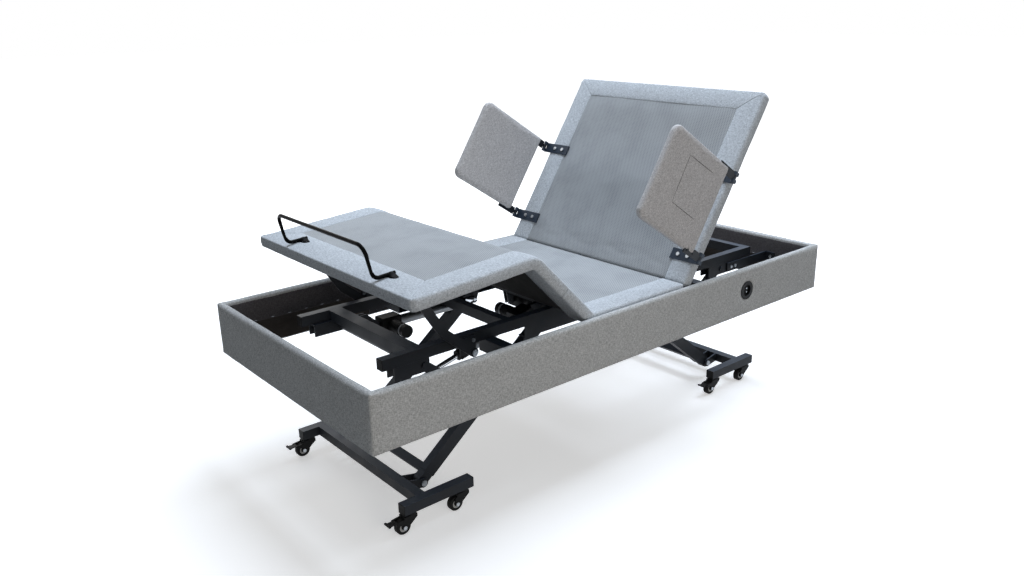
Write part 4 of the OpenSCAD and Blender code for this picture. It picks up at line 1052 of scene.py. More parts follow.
@dataclass
class EndBorder:
    """The border round the free end of a section, with mitred corners, sizes in mm."""

    section: Section
    side_width: float
    end_width: float
    start: float

    def plane_ring(
        self, outline: Array, x: Array | float, s: Array | float
    ) -> tuple[Array, Array]:
        """Places an outline in the section's plane.

        Args:
            outline: Points of distance from the body's inner edge and height n.
            x: Where each point lies across the bed.
            s: Where each point lies along the section.

        Returns:
            The ring and the same ring in the cut, in mm.
        """
        flat = np.column_stack([x, np.broadcast_to(s, len(outline)), outline[:, 1]])
        return np.array([self.section.point(*p) for p in flat]), flat

    def corner(self, angle: float) -> tuple[Array, Array, Array]:
        """One ring round the right corner, from 0 degrees at the side to 90 at the end.

        Args:
            angle: Where the ring stands.

        Returns:
            The outline there, and where its points lie across and along the section.
        """
        t = angle / 90
        side = PAD.profile(self.side_width)
        end = PAD.profile(self.end_width, edge=PAD.end_edge_r)
        outline = side.copy() if t < 0.5 else end.copy()
        seam = math.exp(-(((angle - 45) / 7.0) ** 2))
        outline[outline[:, 1] > PAD.top_n - 9, 1] -= 1.6 * seam
        pinch = 1.2 * seam * (outline[:, 0] > PAD.body - 8)
        r, body, length = PAD.corner_r, PAD.body, self.section.length
        turn, spread = math.radians(angle), 9.0 * (t * 2 - 1)
        x_in = PAD.inner_x + side[:, 0] - max(0.0, spread)
        s_in = length - body + end[:, 0] + min(0.0, spread)
        reach = np.maximum(side[:, 0], end[:, 0]) - (body - r) - pinch
        x_out = PAD.outer_x - r + reach * math.cos(turn)
        s_out = length - r + reach * math.sin(turn)
        blend = np.clip(reach / 6.0, 0, 1)
        return outline, x_in + (x_out - x_in) * blend, s_in + (s_out - s_in) * blend

    def add_to(self, cover: Cover) -> list[int]:
        """Adds the rings from the right side's start, round the end, to its middle.

        Args:
            cover: The cover that the border belongs to.

        Returns:
            The mitre's ring, counted back from the last.
        """
        side, s_end = PAD.profile(self.side_width), self.corner(0.0)[2]
        steps = max(8, int((self.section.length - PAD.body - self.start) / 12))
        for i in range(steps):
            s = self.start + (s_end - self.start) * i / steps
            cover.add(*self.plane_ring(side, PAD.inner_x + side[:, 0], s))
        angles = (0, 12, 24, 33, 40, 45, 50, 57, 66, 78, 90)
        for angle in angles:
            cover.add(*self.plane_ring(*self.corner(float(angle))))
        end, x_end = PAD.profile(self.end_width, edge=PAD.end_edge_r), self.corner(90.0)[1]
        steps = 30
        for i in range(1, steps + 1):
            s = self.section.length - PAD.body + end[:, 0]
            cover.add(*self.plane_ring(end, x_end * (1 - i / steps), s))
        return [steps + len(angles) - 1 - angles.index(45)]


def foam_relief(obj: bpy.types.Object, amount_mm: float, size_mm: float) -> None:
    """Gives a padded cover the slight unevenness of foam under cloth.

    Args:
        obj: The cover.
        amount_mm: Height of the unevenness.
        size_mm: Size of its humps.
    """
    spots, normals = points_of(obj.data), points_of(obj.data, "normal")
    rise = np.array([
        field_noise.noise(Vector(p) / (size_mm * MM))
        + 0.4 * field_noise.noise(Vector(p) / (size_mm * MM * 0.4))
        for p in spots
    ])
    set_points(obj.data, spots + normals * (rise * amount_mm * MM)[:, None])


def place_piece(
    obj: bpy.types.Object, slot: Slot, nodes: Sequence[str] = (), body: str | None = None
) -> None:
    """Hands a finished piece to the frame: its body and what it stands for.

    Args:
        obj: The piece.
        slot: Its material slot; not used.
        nodes: CAD nodes that it replaces.
        body: The body it rides on, if any.
    """
    if body:
        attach(obj, body)
    if nodes:
        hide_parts(*nodes)
    LOG.info("%s: %d faces, replaces %s", obj.name, len(obj.data.polygons), list(nodes))


@dataclass
class DeckCovers:
    """The padded borders and stretched mesh of the deck."""

    deck: Deck
    calf_width: float = 100.0
    calf_end_width: float = 112.0
    thigh_width: float = 100.0
    seat_width: float = 97.0
    back_width: float = 92.0
    back_end_width: float = 74.0
    reach: float = 42.0  # how far from a hinge the bend handed to blend_at starts

    def build(self) -> None:
        """Builds every cover of the deck."""
        self.calf_border()
        self.seat_borders()
        self.back_border()
        self.knee_mesh()
        self.seat_mesh()
        self.back_mesh()
        self.thigh_shade_sheet()
        self.retainer_clips()

    def fill(
        self, obj: bpy.types.Object, rings: int, seams: list[int], relief: float, size: float
    ) -> None:
        """Lets a border's cover fill with foam between its seams.

        Args:
            obj: The cover.
            rings: Number of its rings.
            seams: Rings that are seams, counted back from the middle ring.
            relief: Height of the foam's unevenness in mm.
            size: Size of its humps in mm.
        """
        middle = rings // 2
        stiff = [middle + k * way for k in seams for way in (-1, 1)]
        swell(obj, 3.0, 2.2, firm_rows(rings, PAD.firm(), stiff))
        foam_relief(obj, relief, size)

    def blend_at(self, obj: bpy.types.Object, start: Spot, end: Spot) -> None:
        """Bakes the cover's transform into its mesh; it is not bent over the joint.

        Args:
            obj: The cover.
            start: Where the bend starts in the side view, in mm; not used.
            end: Where it ends; not used.
        """
        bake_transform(obj)

    def over_knee(self, obj: bpy.types.Object) -> None:
        """Passes a cover and the ends of the knee's bend to blend_at.

        Args:
            obj: The cover.
        """
        thigh = self.deck.thigh
        start = thigh.side(thigh.length - self.reach, 0)
        self.blend_at(obj, start, self.deck.calf.side(self.reach, 0))

    def over_fold(self, obj: bpy.types.Object) -> None:
        """Passes a cover and the ends of the seat's front fold to blend_at."""
        start, end = (part.side(self.reach, 0) for part in (self.deck.thigh, self.deck.seat))
        self.blend_at(obj, start, end)

    def calf_border(self) -> None:
        """The border round the calf, over the knee and down to the middle of the thigh."""
        deck, cover = self.deck, Cover()
        for st in deck.calf_side(self.calf_width):
            outline = PAD.profile(self.calf_width)
            side = (outline[:, 0] > PAD.body - 4) & (outline[:, 1] < PAD.top_n - 12)
            outline[side, 0] -= 3.2 * math.exp(-(((st.run + 8) / 5.5) ** 2))
            cover.add(*side_ring(st, 1, outline))
        border = EndBorder(deck.calf, self.calf_width, self.calf_end_width, deck.bend + 8)
        seams = border.add_to(cover)
        cover.mirror()
        obj = cover.skin("calf_border_cover", DECK_CLOTH)
        self.fill(obj, len(cover.rings), seams, 0.7, 55)
        self.over_knee(obj)
        place_piece(obj, Slot.DECK, ("calf_pad",))

    def seat_borders(self) -> None:
        """The two side borders from the middle of the thigh, along the seat, to the back."""
        stations = self.deck.seat_side(self.thigh_width, self.seat_width)
        for name, sign in (("right", 1), ("left", -1)):
            cover = Cover()
            for st in stations:
                cover.add(*side_ring(st, sign, PAD.profile(st.width)))
            for t in np.radians(np.linspace(15, 90, 6)).tolist():
                outline = PAD.profile(self.seat_width, self.deck.end_r * (1 - math.cos(t)))
                cover.add(*side_ring(stations[-1], sign, outline, self.deck.end_r * math.sin(t)))
            obj = cover.skin(f"seat_border_cover_{name}", DECK_CLOTH)
            self.fill(obj, len(cover.rings), [], 0.7, 55)
            self.over_fold(obj)
            place_piece(obj, Slot.DECK, ("seat_pad", "thigh_pad") if sign > 0 else ())

    def back_border(self) -> None:
        """The border round the back section."""
        end_r, cover = self.deck.end_r, Cover()
        start = self.deck.gap + end_r
        border = EndBorder(self.deck.back, self.back_width, self.back_end_width, start)
        for t in np.radians(np.linspace(90, 15, 6)).tolist():
            outline = PAD.profile(self.back_width, end_r * (1 - math.cos(t)))
            s = start - end_r * math.sin(t)
            cover.add(*border.plane_ring(outline, PAD.inner_x + outline[:, 0], s))
        seams = border.add_to(cover)
        cover.mirror()
        obj = cover.skin("back_border_cover", DECK_CLOTH)
        self.fill(obj, len(cover.rings), seams, 0.8, 60)
        place_piece(obj, Slot.DECK, ("back_pad",), "back")

    def mesh_sheet(
        self, name: str, path: list[Row], up: int, slack: Callable[[float, float], float]
    ) -> bpy.types.Object:
        """Stretches mesh along a path in the side view.

        Args:
            name: Name of the piece.
            path: For each row: y and z, its place in the cut and its half width.
            up: 1 if up is to the left of the path's direction, -1 if to its right.
            slack: Height of the mesh above the path at x and the place in the cut, in mm.

        Returns:
            The new sheet.
        """
        table, cols = np.array(path), 97
        heading = np.gradient(table[:, :2], axis=0)
        heading /= np.linalg.norm(heading, axis=1, keepdims=True)
        rows, flats = [], []
        for (y, z, run, half), (hy, hz) in zip(table.tolist(), (heading * up).tolist()):
            xs = np.linspace(-half, half, cols)
            fall = np.clip((half - np.abs(xs)) / 24, 0, 1)
            lift = np.array([slack(x, run) for x in xs]) * (fall * fall * (3 - 2 * fall))
            rows.append(np.column_stack([xs, y - hz * lift, z + hy * lift]) * MM)
            flats.append(np.column_stack([xs, np.full(cols, run), np.zeros(cols)]) * MM)
        return cloth_sheet(name, np.array(rows), np.array(flats), DECK_MESH)

    def half_width(self, border: float) -> float:
        """Half width of the mesh between borders, with a little that tucks under the cloth."""
        return PAD.outer_x - border + 0.6

    def knee_mesh(self) -> None:
        """Mesh from the calf's end border, over the knee, to the middle of the thigh."""
        calf, thigh, bend, n = self.deck.calf, self.deck.thigh, self.deck.bend, PAD.mesh_n
        half, pitch, steps = self.half_width(self.calf_width), 6.5, 24
        path: list[Row] = []
        for s in np.arange(calf.length - self.calf_end_width, bend + 4, -7.0).tolist():
            path.append((*calf.side(s, n), s, half))
        for i, spot in enumerate(self.deck.knee_path(n, 74.0, steps)):
            path.append((*spot, bend - (bend * 2 + 10) * i / (steps - 1), half))
        for s in np.arange(thigh.length - bend - 6, thigh.length / 2 - 1, -pitch).tolist():
            path.append((*thigh.side(s, n), path[-1][2] - pitch, half))
        path.append((*thigh.side(thigh.length / 2, n), path[-1][2] - 2, half))

        def slack(x: float, s: float) -> float:
            """Sag between the rails with a few soft wrinkles.

            Args:
                x: Place across the bed.
                s: Place in the cut.

            Returns:
                Height above the path in mm.
            """
            span = math.sin(math.pi * min(1.0, max(0.0, (s - 40) / 270)))
            return -2.4 * span + 0.9 * ripple(x, s, 130, 3.0) + 0.35 * ripple(x, s * 0.4, 30, 7.0)

        obj = self.mesh_sheet("calf_mesh_cover", path, -1, slack)
        self.over_knee(obj)
        place_piece(obj, Slot.MESH, ("calf_mesh",))
        self.declare_sheet(obj)

    def seat_mesh(self) -> None:
        """Mesh from the middle of the thigh, along the seat, into the crease of the back."""
        seat, thigh, bend, n = self.deck.seat, self.deck.thigh, self.deck.bend, PAD.mesh_n
        narrow, wide = self.half_width(self.thigh_width), self.half_width(self.seat_width)
        steps, end, r, pitch = 20, seat.length - 16.0, 9.0, 6
        path: list[Row] = []
        for s in np.arange(thigh.length / 2, bend + 3, -7.0).tolist():
            path.append((*thigh.side(s, n), -s, narrow))
        for i, spot in enumerate(self.deck.fold_path(n, 30.0, steps)):
            t = i / (steps - 1)
            path.append((*spot, -bend + (bend * 2 - 8) * t, narrow * (1 - t) + wide * t))
        for s in np.arange(bend + 7, end, 8.0).tolist():
            path.append((*seat.side(s, n), s - 8, wide))
        for t in np.radians(np.linspace(0, 90, 7)).tolist():
            spot = seat.side(end + r * math.sin(t), n - r + r * math.cos(t))
            path.append((*spot, end - 8 + r * t, wide))
        for i in range(1, 5):
            path.append((*seat.side(end + r, n - r - pitch * i), path[-1][2] + pitch, wide))

        def slack(x: float, s: float) -> float:
            """Sag of the seat with creases that run into its corners.

            Args:
                x: Place across the bed.
                s: Place in the cut.

            Returns:
                Height above the path in mm.
            """
            span = math.sin(math.pi * min(1.0, max(0.0, s / 430)))
            near = math.exp(-(((s - 380) / 60) ** 2)) * min(1.0, max(0.0, (424 - s) / 20))
            creases = 1.1 * near * ripple(x * 0.25, s, 22, 5.0)
            return 0.5 - 3.0 * span + 1.2 * span * ripple(x, s, 120, 11.0) + creases

        obj = self.mesh_sheet("seat_mesh_cover", path, 1, slack)
        self.over_fold(obj)
        place_piece(obj, Slot.MESH, ("seat_mesh", "thigh_mesh"))
        self.declare_sheet(obj)

    def back_mesh(self) -> None:
        """Mesh of the back with a roll at its lower end."""
        back, n, half = self.deck.back, PAD.mesh_n, self.half_width(self.back_width)
        start, r, pitch = 18, 12.0, 5
        path: list[Row] = []
        for i in range(4, 0, -1):
            run = start - r * math.pi / 2 - pitch * i
            path.append((*back.side(start - r, n - r - pitch * i), run, half))
        for t in np.radians(np.linspace(90, 11.25, 8)).tolist():
            spot = back.side(start - r * math.sin(t), n - r + r * math.cos(t))
            path.append((*spot, start - r * t, half))
        for s in np.linspace(start, back.length - self.back_end_width + 0.6, 96).tolist():
            path.append((*back.side(s, n), s, half))

        def slack(x: float, s: float) -> float:
            """Sag between the rails, a soft arc and creases by the lower roll.

            Args:
                x: Place across the bed.
                s: Place in the cut.

            Returns:
                Height above the path in mm.
            """
            sag = -4.5 * abs(math.sin(math.pi * max(0.0, s - 40) / 300)) ** 1.5
            low = math.exp(-(((s - 62) / 26) ** 2)) * (1.4 * ripple(x * 0.3, s, 20, 2.0) - 1.5)
            band = math.exp(-(((s - 330) / 46) ** 2)) * 1.6 * ripple(x * 0.5, s, 60, 9.0)
            broad = 2.0 * ripple(x, s, 190, 1.0) * min(1.0, max(0.0, (s - 24) / 60))
            return max(PAD.rail_n - PAD.mesh_n, 0.5 + sag + broad + low + band)

        obj = self.mesh_sheet("back_mesh_cover", path, 1, slack)
        place_piece(obj, Slot.MESH, ("back_mesh",), "back")
        self.declare_sheet(obj)

    def retainer_clips(self) -> None:
        """Oval moulded clips that lie on the foot border and hold the bar's feet."""
        calf = self.deck.calf
        low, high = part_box("retainer_clips")
        along, foot_n = calf.local((low.y + high.y) / 2 / MM, (low.z + high.z) / 2 / MM)
        half_x, half_s, base, rise = 34.0, 14.0, PAD.top_n + 2.0, 6.0
        for side, sign in (("left", -1), ("right", 1)):
            cover = Cover()
            for a in np.cos(np.linspace(math.pi, 0, 33)).tolist():
                half = half_s * max(0.02, 1 - abs(a) ** 2.4) ** 0.5
                hump = (foot_n + 7 - base - rise) * math.exp(-((half_x * a / 9.5) ** 2))
                crest = rise * max(0.05, 1 - abs(a) ** 4) + hump
                ring = []
                for t in np.linspace(0, 2 * math.pi, 28, endpoint=False).tolist():
                    up = max(0.0, math.sin(t)) ** 0.6 - 0.25 * max(0.0, -math.sin(t)) ** 0.5
                    x = sign * (high.x / MM - 35.0) + half_x * a
                    ring.append(calf.point(x, along + half * math.cos(t), base + crest * up))
                cover.add(np.array(ring))
            obj = cover.skin(f"retainer_clip_{side}", BAR_ENAMEL)
            place_piece(obj, Slot.NYLON, ("retainer_clips",) if sign > 0 else (), "calf")

    def thigh_shade_sheet(self) -> None:
        """Painted shade: a black sheet under the thigh's rails, slotted for the lever."""
        thigh, low_n, slot_half, slot_end = self.deck.thigh, -17.0, 22, 90
        low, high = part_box("thigh_rod")
        lever_x = (low.x + high.x) / 2 / MM
        xs = np.linspace(-PAD.inner_x + 5, PAD.inner_x - 5, 74)
        rows, flats = [], []
        for s in np.linspace(18, thigh.length - 20, 32).tolist():
            row = [thigh.point(x, s, low_n + 0.5 * ripple(x, s, 90, 2.5)) for x in xs.tolist()]
            rows.append(np.array(row) * MM)
            flats.append(np.column_stack([xs, np.full(len(xs), s), np.zeros(len(xs))]) * MM)
        # The black sheet stands for the shade under the thigh's mesh: painted shade.
        obj = cloth_sheet("thigh_shade_sheet", np.array(rows), np.array(flats), SHADE_BLACK)
        work = bmesh.new()
        work.from_mesh(obj.data)
        middles = [(f, f.calc_center_median() / MM) for f in work.faces]
        slot = [
            f
            for f, c in middles
            if abs(c.x - lever_x) < slot_half and thigh.local(c.y, c.z)[0] < slot_end
        ]
        bmesh.ops.delete(work, geom=slot, context="FACES")
        work.to_mesh(obj.data)
        work.free()
        place_piece(obj, Slot.NYLON, (), "thigh")
        self.declare_sheet(obj)

    def declare_sheet(self, obj: bpy.types.Object) -> None:
        """Logs the size that a stretched mesh was cut to.

        Args:
            obj: The sheet.
        """
        layer = obj.data.uv_layers["lay"]
        uv = np.zeros(len(layer.data) * 2, np.float32)
        layer.data.foreach_get("uv", uv)
        size = np.ptp(uv.reshape(-1, 2), axis=0)
        LOG.info("%s is cut %.0f by %.0f mm", obj.name, size[0] * 1000, size[1] * 1000)


# ---------------------------------------------------------------- the surround


@dataclass(frozen=True)
class Side:
    """A side of the surround, sizes in mm.

    Attributes:
        name: Where it stands.
        axis: The axis that its outer face looks along: 0 across the bed, 1 along it.
        sign: Which way it looks.
        out: How far its outer face is from the middle.
        half: Half its length.
    """

    name: str
    axis: int
    sign: int
    out: float
    half: float

    def points(self, depth: Array | float, along: Array | float, z: Array | float) -> Array:
        """Points from the depth behind the outer face, the place along it and the height."""
        across = self.sign * (self.out - depth)
        return np.column_stack([across, along, z] if self.axis == 0 else [along, across, z])


@dataclass
class Surround:
    """The four upholstered panels round the frame, sizes in mm."""

    half_w: float = 490.0
    half_l: float = 1040.0
    thick: float = 25.0
    low_z: float = 392.0
    height: float = 180.0
    top_r: float = 11.5
    low_r: float = 5.0
    corner_r: float = 12.0
    bulge: float = 1.0
    socket: tuple[float, float] = (0.0, 0.0)
    socket_r: float = 35.5

    def build(self) -> None:
        """Builds the panels and hands them over."""
        low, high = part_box("power_socket")
        self.socket = ((low.y + high.y) / 2 / MM, (low.z + high.z) / 2 / MM)
        sides = (
            Side("right", 0, 1, self.half_w, self.half_l),
            Side("left", 0, -1, self.half_w, self.half_l),
            Side("foot", 1, -1, self.half_l, self.half_w),
            Side("head", 1, 1, self.half_l, self.half_w),
        )
        for side in sides:
            obj = self.panel(side)
            place_piece(obj, Slot.SURROUND, (f"surround_{side.name}",), "chassis")
        self.lining(sides)

    def outline(self) -> Array:
        """Draws a panel's cross-section.

        Returns:
            Points of depth behind the outer face and height above the floor.
        """
        t, z0, rows = self.thick, self.low_z, 25
        low, top = z0 + self.low_r, z0 + self.height - self.top_r
        pts = arc(self.low_r, low, self.low_r, (-90, -157.5), 3)
        for i in range(rows + 1):
            z = low + (top - low) * i / rows
            pts.append((-self.bulge * math.sin(math.pi * (z - z0) / self.height) ** 0.6, z))
        pts += arc(self.top_r, top, self.top_r, (180, 90), 6)[1:]
        pts += arc(t - self.top_r, top, self.top_r, (90, 0), 6)[1:]
        pts += [(t, top + (low - top) * i / 9) for i in range(1, 9)]
        pts += arc(t - self.low_r, low, self.low_r, (0, -90), 3)
        return np.array(pts)

    def stations(self, length: float, dense_at: float | None) -> list[float]:
        """Places of a panel's rings, without the close ones at the mitres.

        Args:
            length: Half length of the panel.
            dense_at: Place along the panel where the rings stand close.

        Returns:
            Distances in mm from the panel's middle.
        """
        made = list(np.linspace(-length + 70, length - 70, int(length / 8)))
        if dense_at is not None:
            made = [v for v in made if abs(v - dense_at) > 52]
            made += list(np.arange(dense_at - 50, dense_at + 51, 5.0))
        return sorted(made)

    def panel(self, side: Side) -> bpy.types.Object:
        """Builds one panel.

        Args:
            side: The side it stands on.

        Returns:
            The panel.
        """
        base, r = self.outline(), self.corner_r
        mitre = np.maximum(base[:, 0], r * (1 - math.sqrt(0.5)))
        centre = base.mean(0)
        has_socket = side.name == "right"
        ends = [0.2, 0.7, 1.5, 2.6, 4.2, 6.5, 10.0, 16.0, 26.0, 36.0]
        middle = self.stations(side.half, self.socket[0] if has_socket else None)
        plan = [(-1.0, e) for e in ends] + [(0.0, v) for v in middle]
        cover = Cover()
        for way, value in plan + [(1.0, e) for e in ends[::-1]]:
            pts = base.copy()
            if way:
                t = mitre + value
                inset = np.where(t < r, r - np.sqrt(np.maximum(0, r * r - (r - t) ** 2)), 0)
                outer = pts[:, 0] < self.thick / 2
                pts[outer, 0] = np.maximum(pts[outer, 0], inset[outer])
                inward = (centre - pts) / np.linalg.norm(centre - pts, axis=1, keepdims=True)
                pts += inward * (1.5 * math.exp(-value / 1.1))
                along = way * (side.half - mitre - value)
            else:
                along = np.full(len(pts), value)
            if has_socket:
                away = np.hypot(along - self.socket[0], pts[:, 1] - self.socket[1])
                face = pts[:, 0] < 2
                press = np.clip((self.socket_r + 3 - away) / 4, 0, 1) * 4.2
                press += np.clip((31 - away) / 5, 0, 1) * 12
                pts[face, 0] = np.maximum(pts[face, 0], press[face])
            cover.add(side.points(pts[:, 0], along, pts[:, 1]))
        obj = cover.skin(f"surround_cover_{side.name}", SURROUND_CLOTH)
        inside = (base[:, 0] > self.thick - 0.6) | (base[:, 1] < self.low_z + 2)
        count = len(cover.rings)
        held = firm_rows(count, inside.astype(float), (1, 2, count - 2, count - 3))
        if has_socket:
            spots = np.concatenate(cover.rings) / MM
            near = np.hypot(spots[:, 1] - self.socket[0], spots[:, 2] - self.socket[1])
            held[:-2][near < self.socket_r + 7] = 1.0
        swell(obj, 2.0, 1.2, held)
        if not has_socket:
            foam_relief(obj, 0.6, 75)
        return obj

    def lining(self, sides: Sequence[Side]) -> None:
        """The inside of the panels: cloth down to a stapled hem, bare board below, both dark as
        painted shade.

        Args:
            sides: The sides of the surround.
        """
        t, z0, hem, z1 = self.thick, self.low_z + 5, self.low_z + 88, self.low_z + 165
        shape = np.array([
            (t - 0.6, z0), (t + 0.6, z0), (t + 0.6, hem - 30), (t + 0.6, hem - 0.6),
            (t + 1.9, hem - 0.2), (t + 2.3, hem + 1.6), (t + 1.4, hem + 4), (t + 0.9, hem + 9),
            (t + 0.9, z1 - 30), (t + 0.8, z1 - 4), (t + 0.3, z1), (t - 0.6, z1 + 1),
                (t - 0.6, hem),
        ])
        near_hem = np.abs(shape[:, 1] - hem) < 5
        staples: list[tuple[Array, Array]] = []
        for side in sides:
            half, cover = side.half - t - 1.0, Cover()
            for along in np.linspace(-half, half, int(half / 14)).tolist():
                wave = ripple(along, 3.0 * side.axis, 45, 6.0 + side.sign)
                line = np.full(len(shape), along)
                cover.add(side.points(shape[:, 0], line, shape[:, 1] + near_hem * wave))
            obj = cover.skin(f"panel_lining_{side.name}", PANEL_CLOTH)
            # Cloth above the hem and board below, both dark as painted shade.
            obj.data.materials.append(BOARD.material())
            below = [int(p.center.z / MM < hem - 0.5) for p in obj.data.polygons]
            obj.data.polygons.foreach_set("material_index", below)
            place_piece(obj, Slot.NYLON, (), "chassis")
            size = np.array([0.9, 10.0, 1.3] if side.axis == 0 else [10.0, 0.9, 1.3])
            for along in np.arange(-half + 30, half - 20, 64.0):
                staples.append((side.points(t + 2.4, along, hem + 4.0)[0], size))
        self.staple_row(staples)

    def staple_row(self, staples: list[tuple[Array, Array]]) -> None:
        """The staples of the hems, one piece: flat wire crowns with bevelled ends.

        Args:
            staples: Middle and size of each.
        """
        work = bmesh.new()
        for middle, size in staples:
            for v in bmesh.ops.create_cube(work, size=1.0)["verts"]:
                v.co = Vector([(m + c * w) * MM for m, c, w in zip(middle, v.co, size)])
        bmesh.ops.bevel(
            work, geom=list(work.edges), offset=0.3 * MM, segments=2, affect="EDGES", profile=0.5
        )
        mesh = bpy.data.meshes.new("hem_staples")
        work.to_mesh(mesh)
        work.free()
        mesh.materials.append(ZINC.material())
        obj = bpy.data.objects.new("hem_staples", mesh)
        bpy.context.scene.collection.objects.link(obj)
        place_piece(obj, Slot.ZINC, (), "chassis")


# ---------------------------------------------------------------- side wings


@dataclass
class Wings:
    """The two padded side wings of the back, sizes in mm.

    The hinge leaves lie between board and cover, so the cover is as thick as both.
    """

    deck: Deck
    inner_x: float = 466.0
    outer_x: float = 493.8
    s0: float = 91.0
    s1: float = 436.0
    n0: float = 67.5
    n1: float = 419.5
    corner_r: float = 34.0
    slit: tuple[tuple[float, float], ...] = (
        (371.0, 155.0), (367.0, 298.0), (203.0, 291.0), (201.0, 151.0),
    )

    def build(self) -> None:
        """Builds both wings."""
        for name, sign in (("right", 1), ("left", -1)):
            obj = self.wing(name, sign)
            place_piece(obj, Slot.DECK, (f"{name}_wing_pad",), f"{name}_wing")
            if sign > 0:
                self.slit_line(obj)

    def outline(self, inset: float) -> list[Spot]:
        """Draws a wing's outline.

        Args:
            inset: How far it is drawn in.

        Returns:
            Its points in s and n.
        """
        pts: list[Spot] = []
        for turn, share in ((0, 1.0), (90, 1.0), (180, 0.4), (270, 0.4)):
            r = self.corner_r * share - inset * 0.5
            s = self.s1 - inset - r if turn in (0, 270) else self.s0 + inset + r
            n = self.n1 - inset - r if turn < 180 else self.n0 + inset + r
            pts += arc(s, n, r, (turn, turn + 90), 8)
        return pts

    def wing(self, name: str, sign: int) -> bpy.types.Object:
        """Builds one wing: a rounded board whose cover swells over its foam.

        Args:
            name: Side it is on.
            sign: 1 on the right, -1 on the left.

        Returns:
            The wing.
        """
        low, high = self.inner_x + 3, self.outer_x - 3
        cover = Cover()
        for x, inset in (
            (low, 12.0), (low, 7.5), (low + 3, 4.0), (high - 3, 4.0), (high, 7.5), (high, 12.0),
        ):
            ring = [self.deck.back.point(sign * x, s, n) for s, n in self.outline(inset)]
            cover.add(np.array(ring))
        obj = cover.skin(f"wing_cover_{name}", WING_CLOTH)
        close_remesh(obj, 5.0)
        swell(obj, 5.0, 4.5)
        self.settle(obj, sign)
        return obj

    def settle(self, obj: bpy.types.Object, sign: int) -> None:
        """Keeps the cover over its board, gathers its free corners and lays its weave.

        Args:
            obj: The cover.
            sign: 1 on the right, -1 on the left.
        """
        smooth = obj.modifiers.new("round", "SUBSURF")
        smooth.levels = smooth.render_levels = 1
        keep_shape(obj)
        q = points_of(obj.data).astype(float)
        s, n = self.deck.back.local(q[:, 1] / MM, q[:, 2] / MM)
        x = np.clip(np.abs(q[:, 0]) / MM, self.inner_x - 0.6, self.outer_x)
        middle = (self.inner_x + self.outer_x) / 2
        for corner in (self.s0 + 12, self.s1 - 12):
            ds, dn = s - corner, n - (self.n1 - 12)
            fold = np.sin(np.degrees(np.arctan2(dn, ds)) * 0.42)
            x += np.sign(x - middle) * 1.1 * fold * np.clip(1 - np.hypot(ds, dn) / 34, 0, 1)
        x += 0.35 * np.array([ripple(a, b, 60, 8.0 * sign) for a, b in zip(s, n)])
        q[:, 0] = sign * np.minimum(x, self.outer_x) * MM
        set_points(obj.data, q)
        box_lay(obj, np.column_stack([q[:, 0], s * MM, n * MM]))

    def slit_line(self, cover: bpy.types.Object) -> None:
        """The three-sided slit in the right wing's outer face: painted shade as a black line with
        a raised lip.

        Args:
            cover: The wing's cover, on which the slit lies.
        """
        back, steps = self.deck.back, 30
        points: list[tuple[float, float, float]] = []
        faces: list[tuple[int, ...]] = []
        for start, end in zip(np.array(self.slit[:-1]), np.array(self.slit[1:])):
            way = (end - start) / np.linalg.norm(end - start)
            off = np.array([-way[1], way[0]])
            first = len(points)
            for i in range(steps + 1):
                t = i / steps
                mid = start + (end - start) * t
                mid = mid + off * 0.8 * ripple(mid[0], mid[1], 30, 4.0)
                half = 0.9 * math.sin(math.pi * (0.06 + 0.88 * t)) ** 0.4
                for k in (-1, 0, 1):
                    s, n = (mid + off * half * k).tolist()
                    outside = Vector(back.point(520.0, s, n)) * MM
                    hit, spot, _, _ = cover.ray_cast(outside, Vector((-1.0, 0.0, 0.0)))
                    x = spot.x / MM if hit else self.outer_x
                    points.append(back.point(x + 0.25 + 0.15 * (k == 0), s, n))
            starts = [first + i * 3 + k for i in range(steps) for k in (0, 1)]
            faces += [(a, a + 1, a + 4, a + 3) for a in starts]
        # Black line of painted shade in the slit.
        obj = mesh_piece("wing_slit_seam", np.array(points) * MM, faces, SHADE_BLACK)
        place_piece(obj, Slot.DECK, (), "right_wing")


# ---------------------------------------------------------------- finishes on the frame


@dataclass(frozen=True)
class Faces:
    """The faces of a CAD node, sizes in mm.

    Attributes:
        spot: Middle of each face.
        size: Edge lengths of the box of the solid that each face belongs to.
        middle: Middle of that box.
        off: Distance of each face from its solid's own long axis.
    """

    spot: Array
    size: Array
    middle: Array
    off: Array


Rule = Callable[[Faces], Array]


def is_cap(f: Faces) -> Array:
    """Plugs in the ends of tubes."""
    edge = np.sort(f.size, axis=1)
    return (edge[:, 0] < 2.2) & (edge[:, 1] > 28) & (edge[:, 2] < 40)


def is_pin(f: Faces) -> Array:
    """Cross pins and their heads."""
    return (f.size[:, 1] < 21) & (f.size[:, 2] < 21)


def is_glide(f: Faces) -> Array:
    """Glides of the long legs."""
    return (f.size[:, 1] > 33) & (f.size[:, 1] < 38) & (f.size[:, 0] < 30)


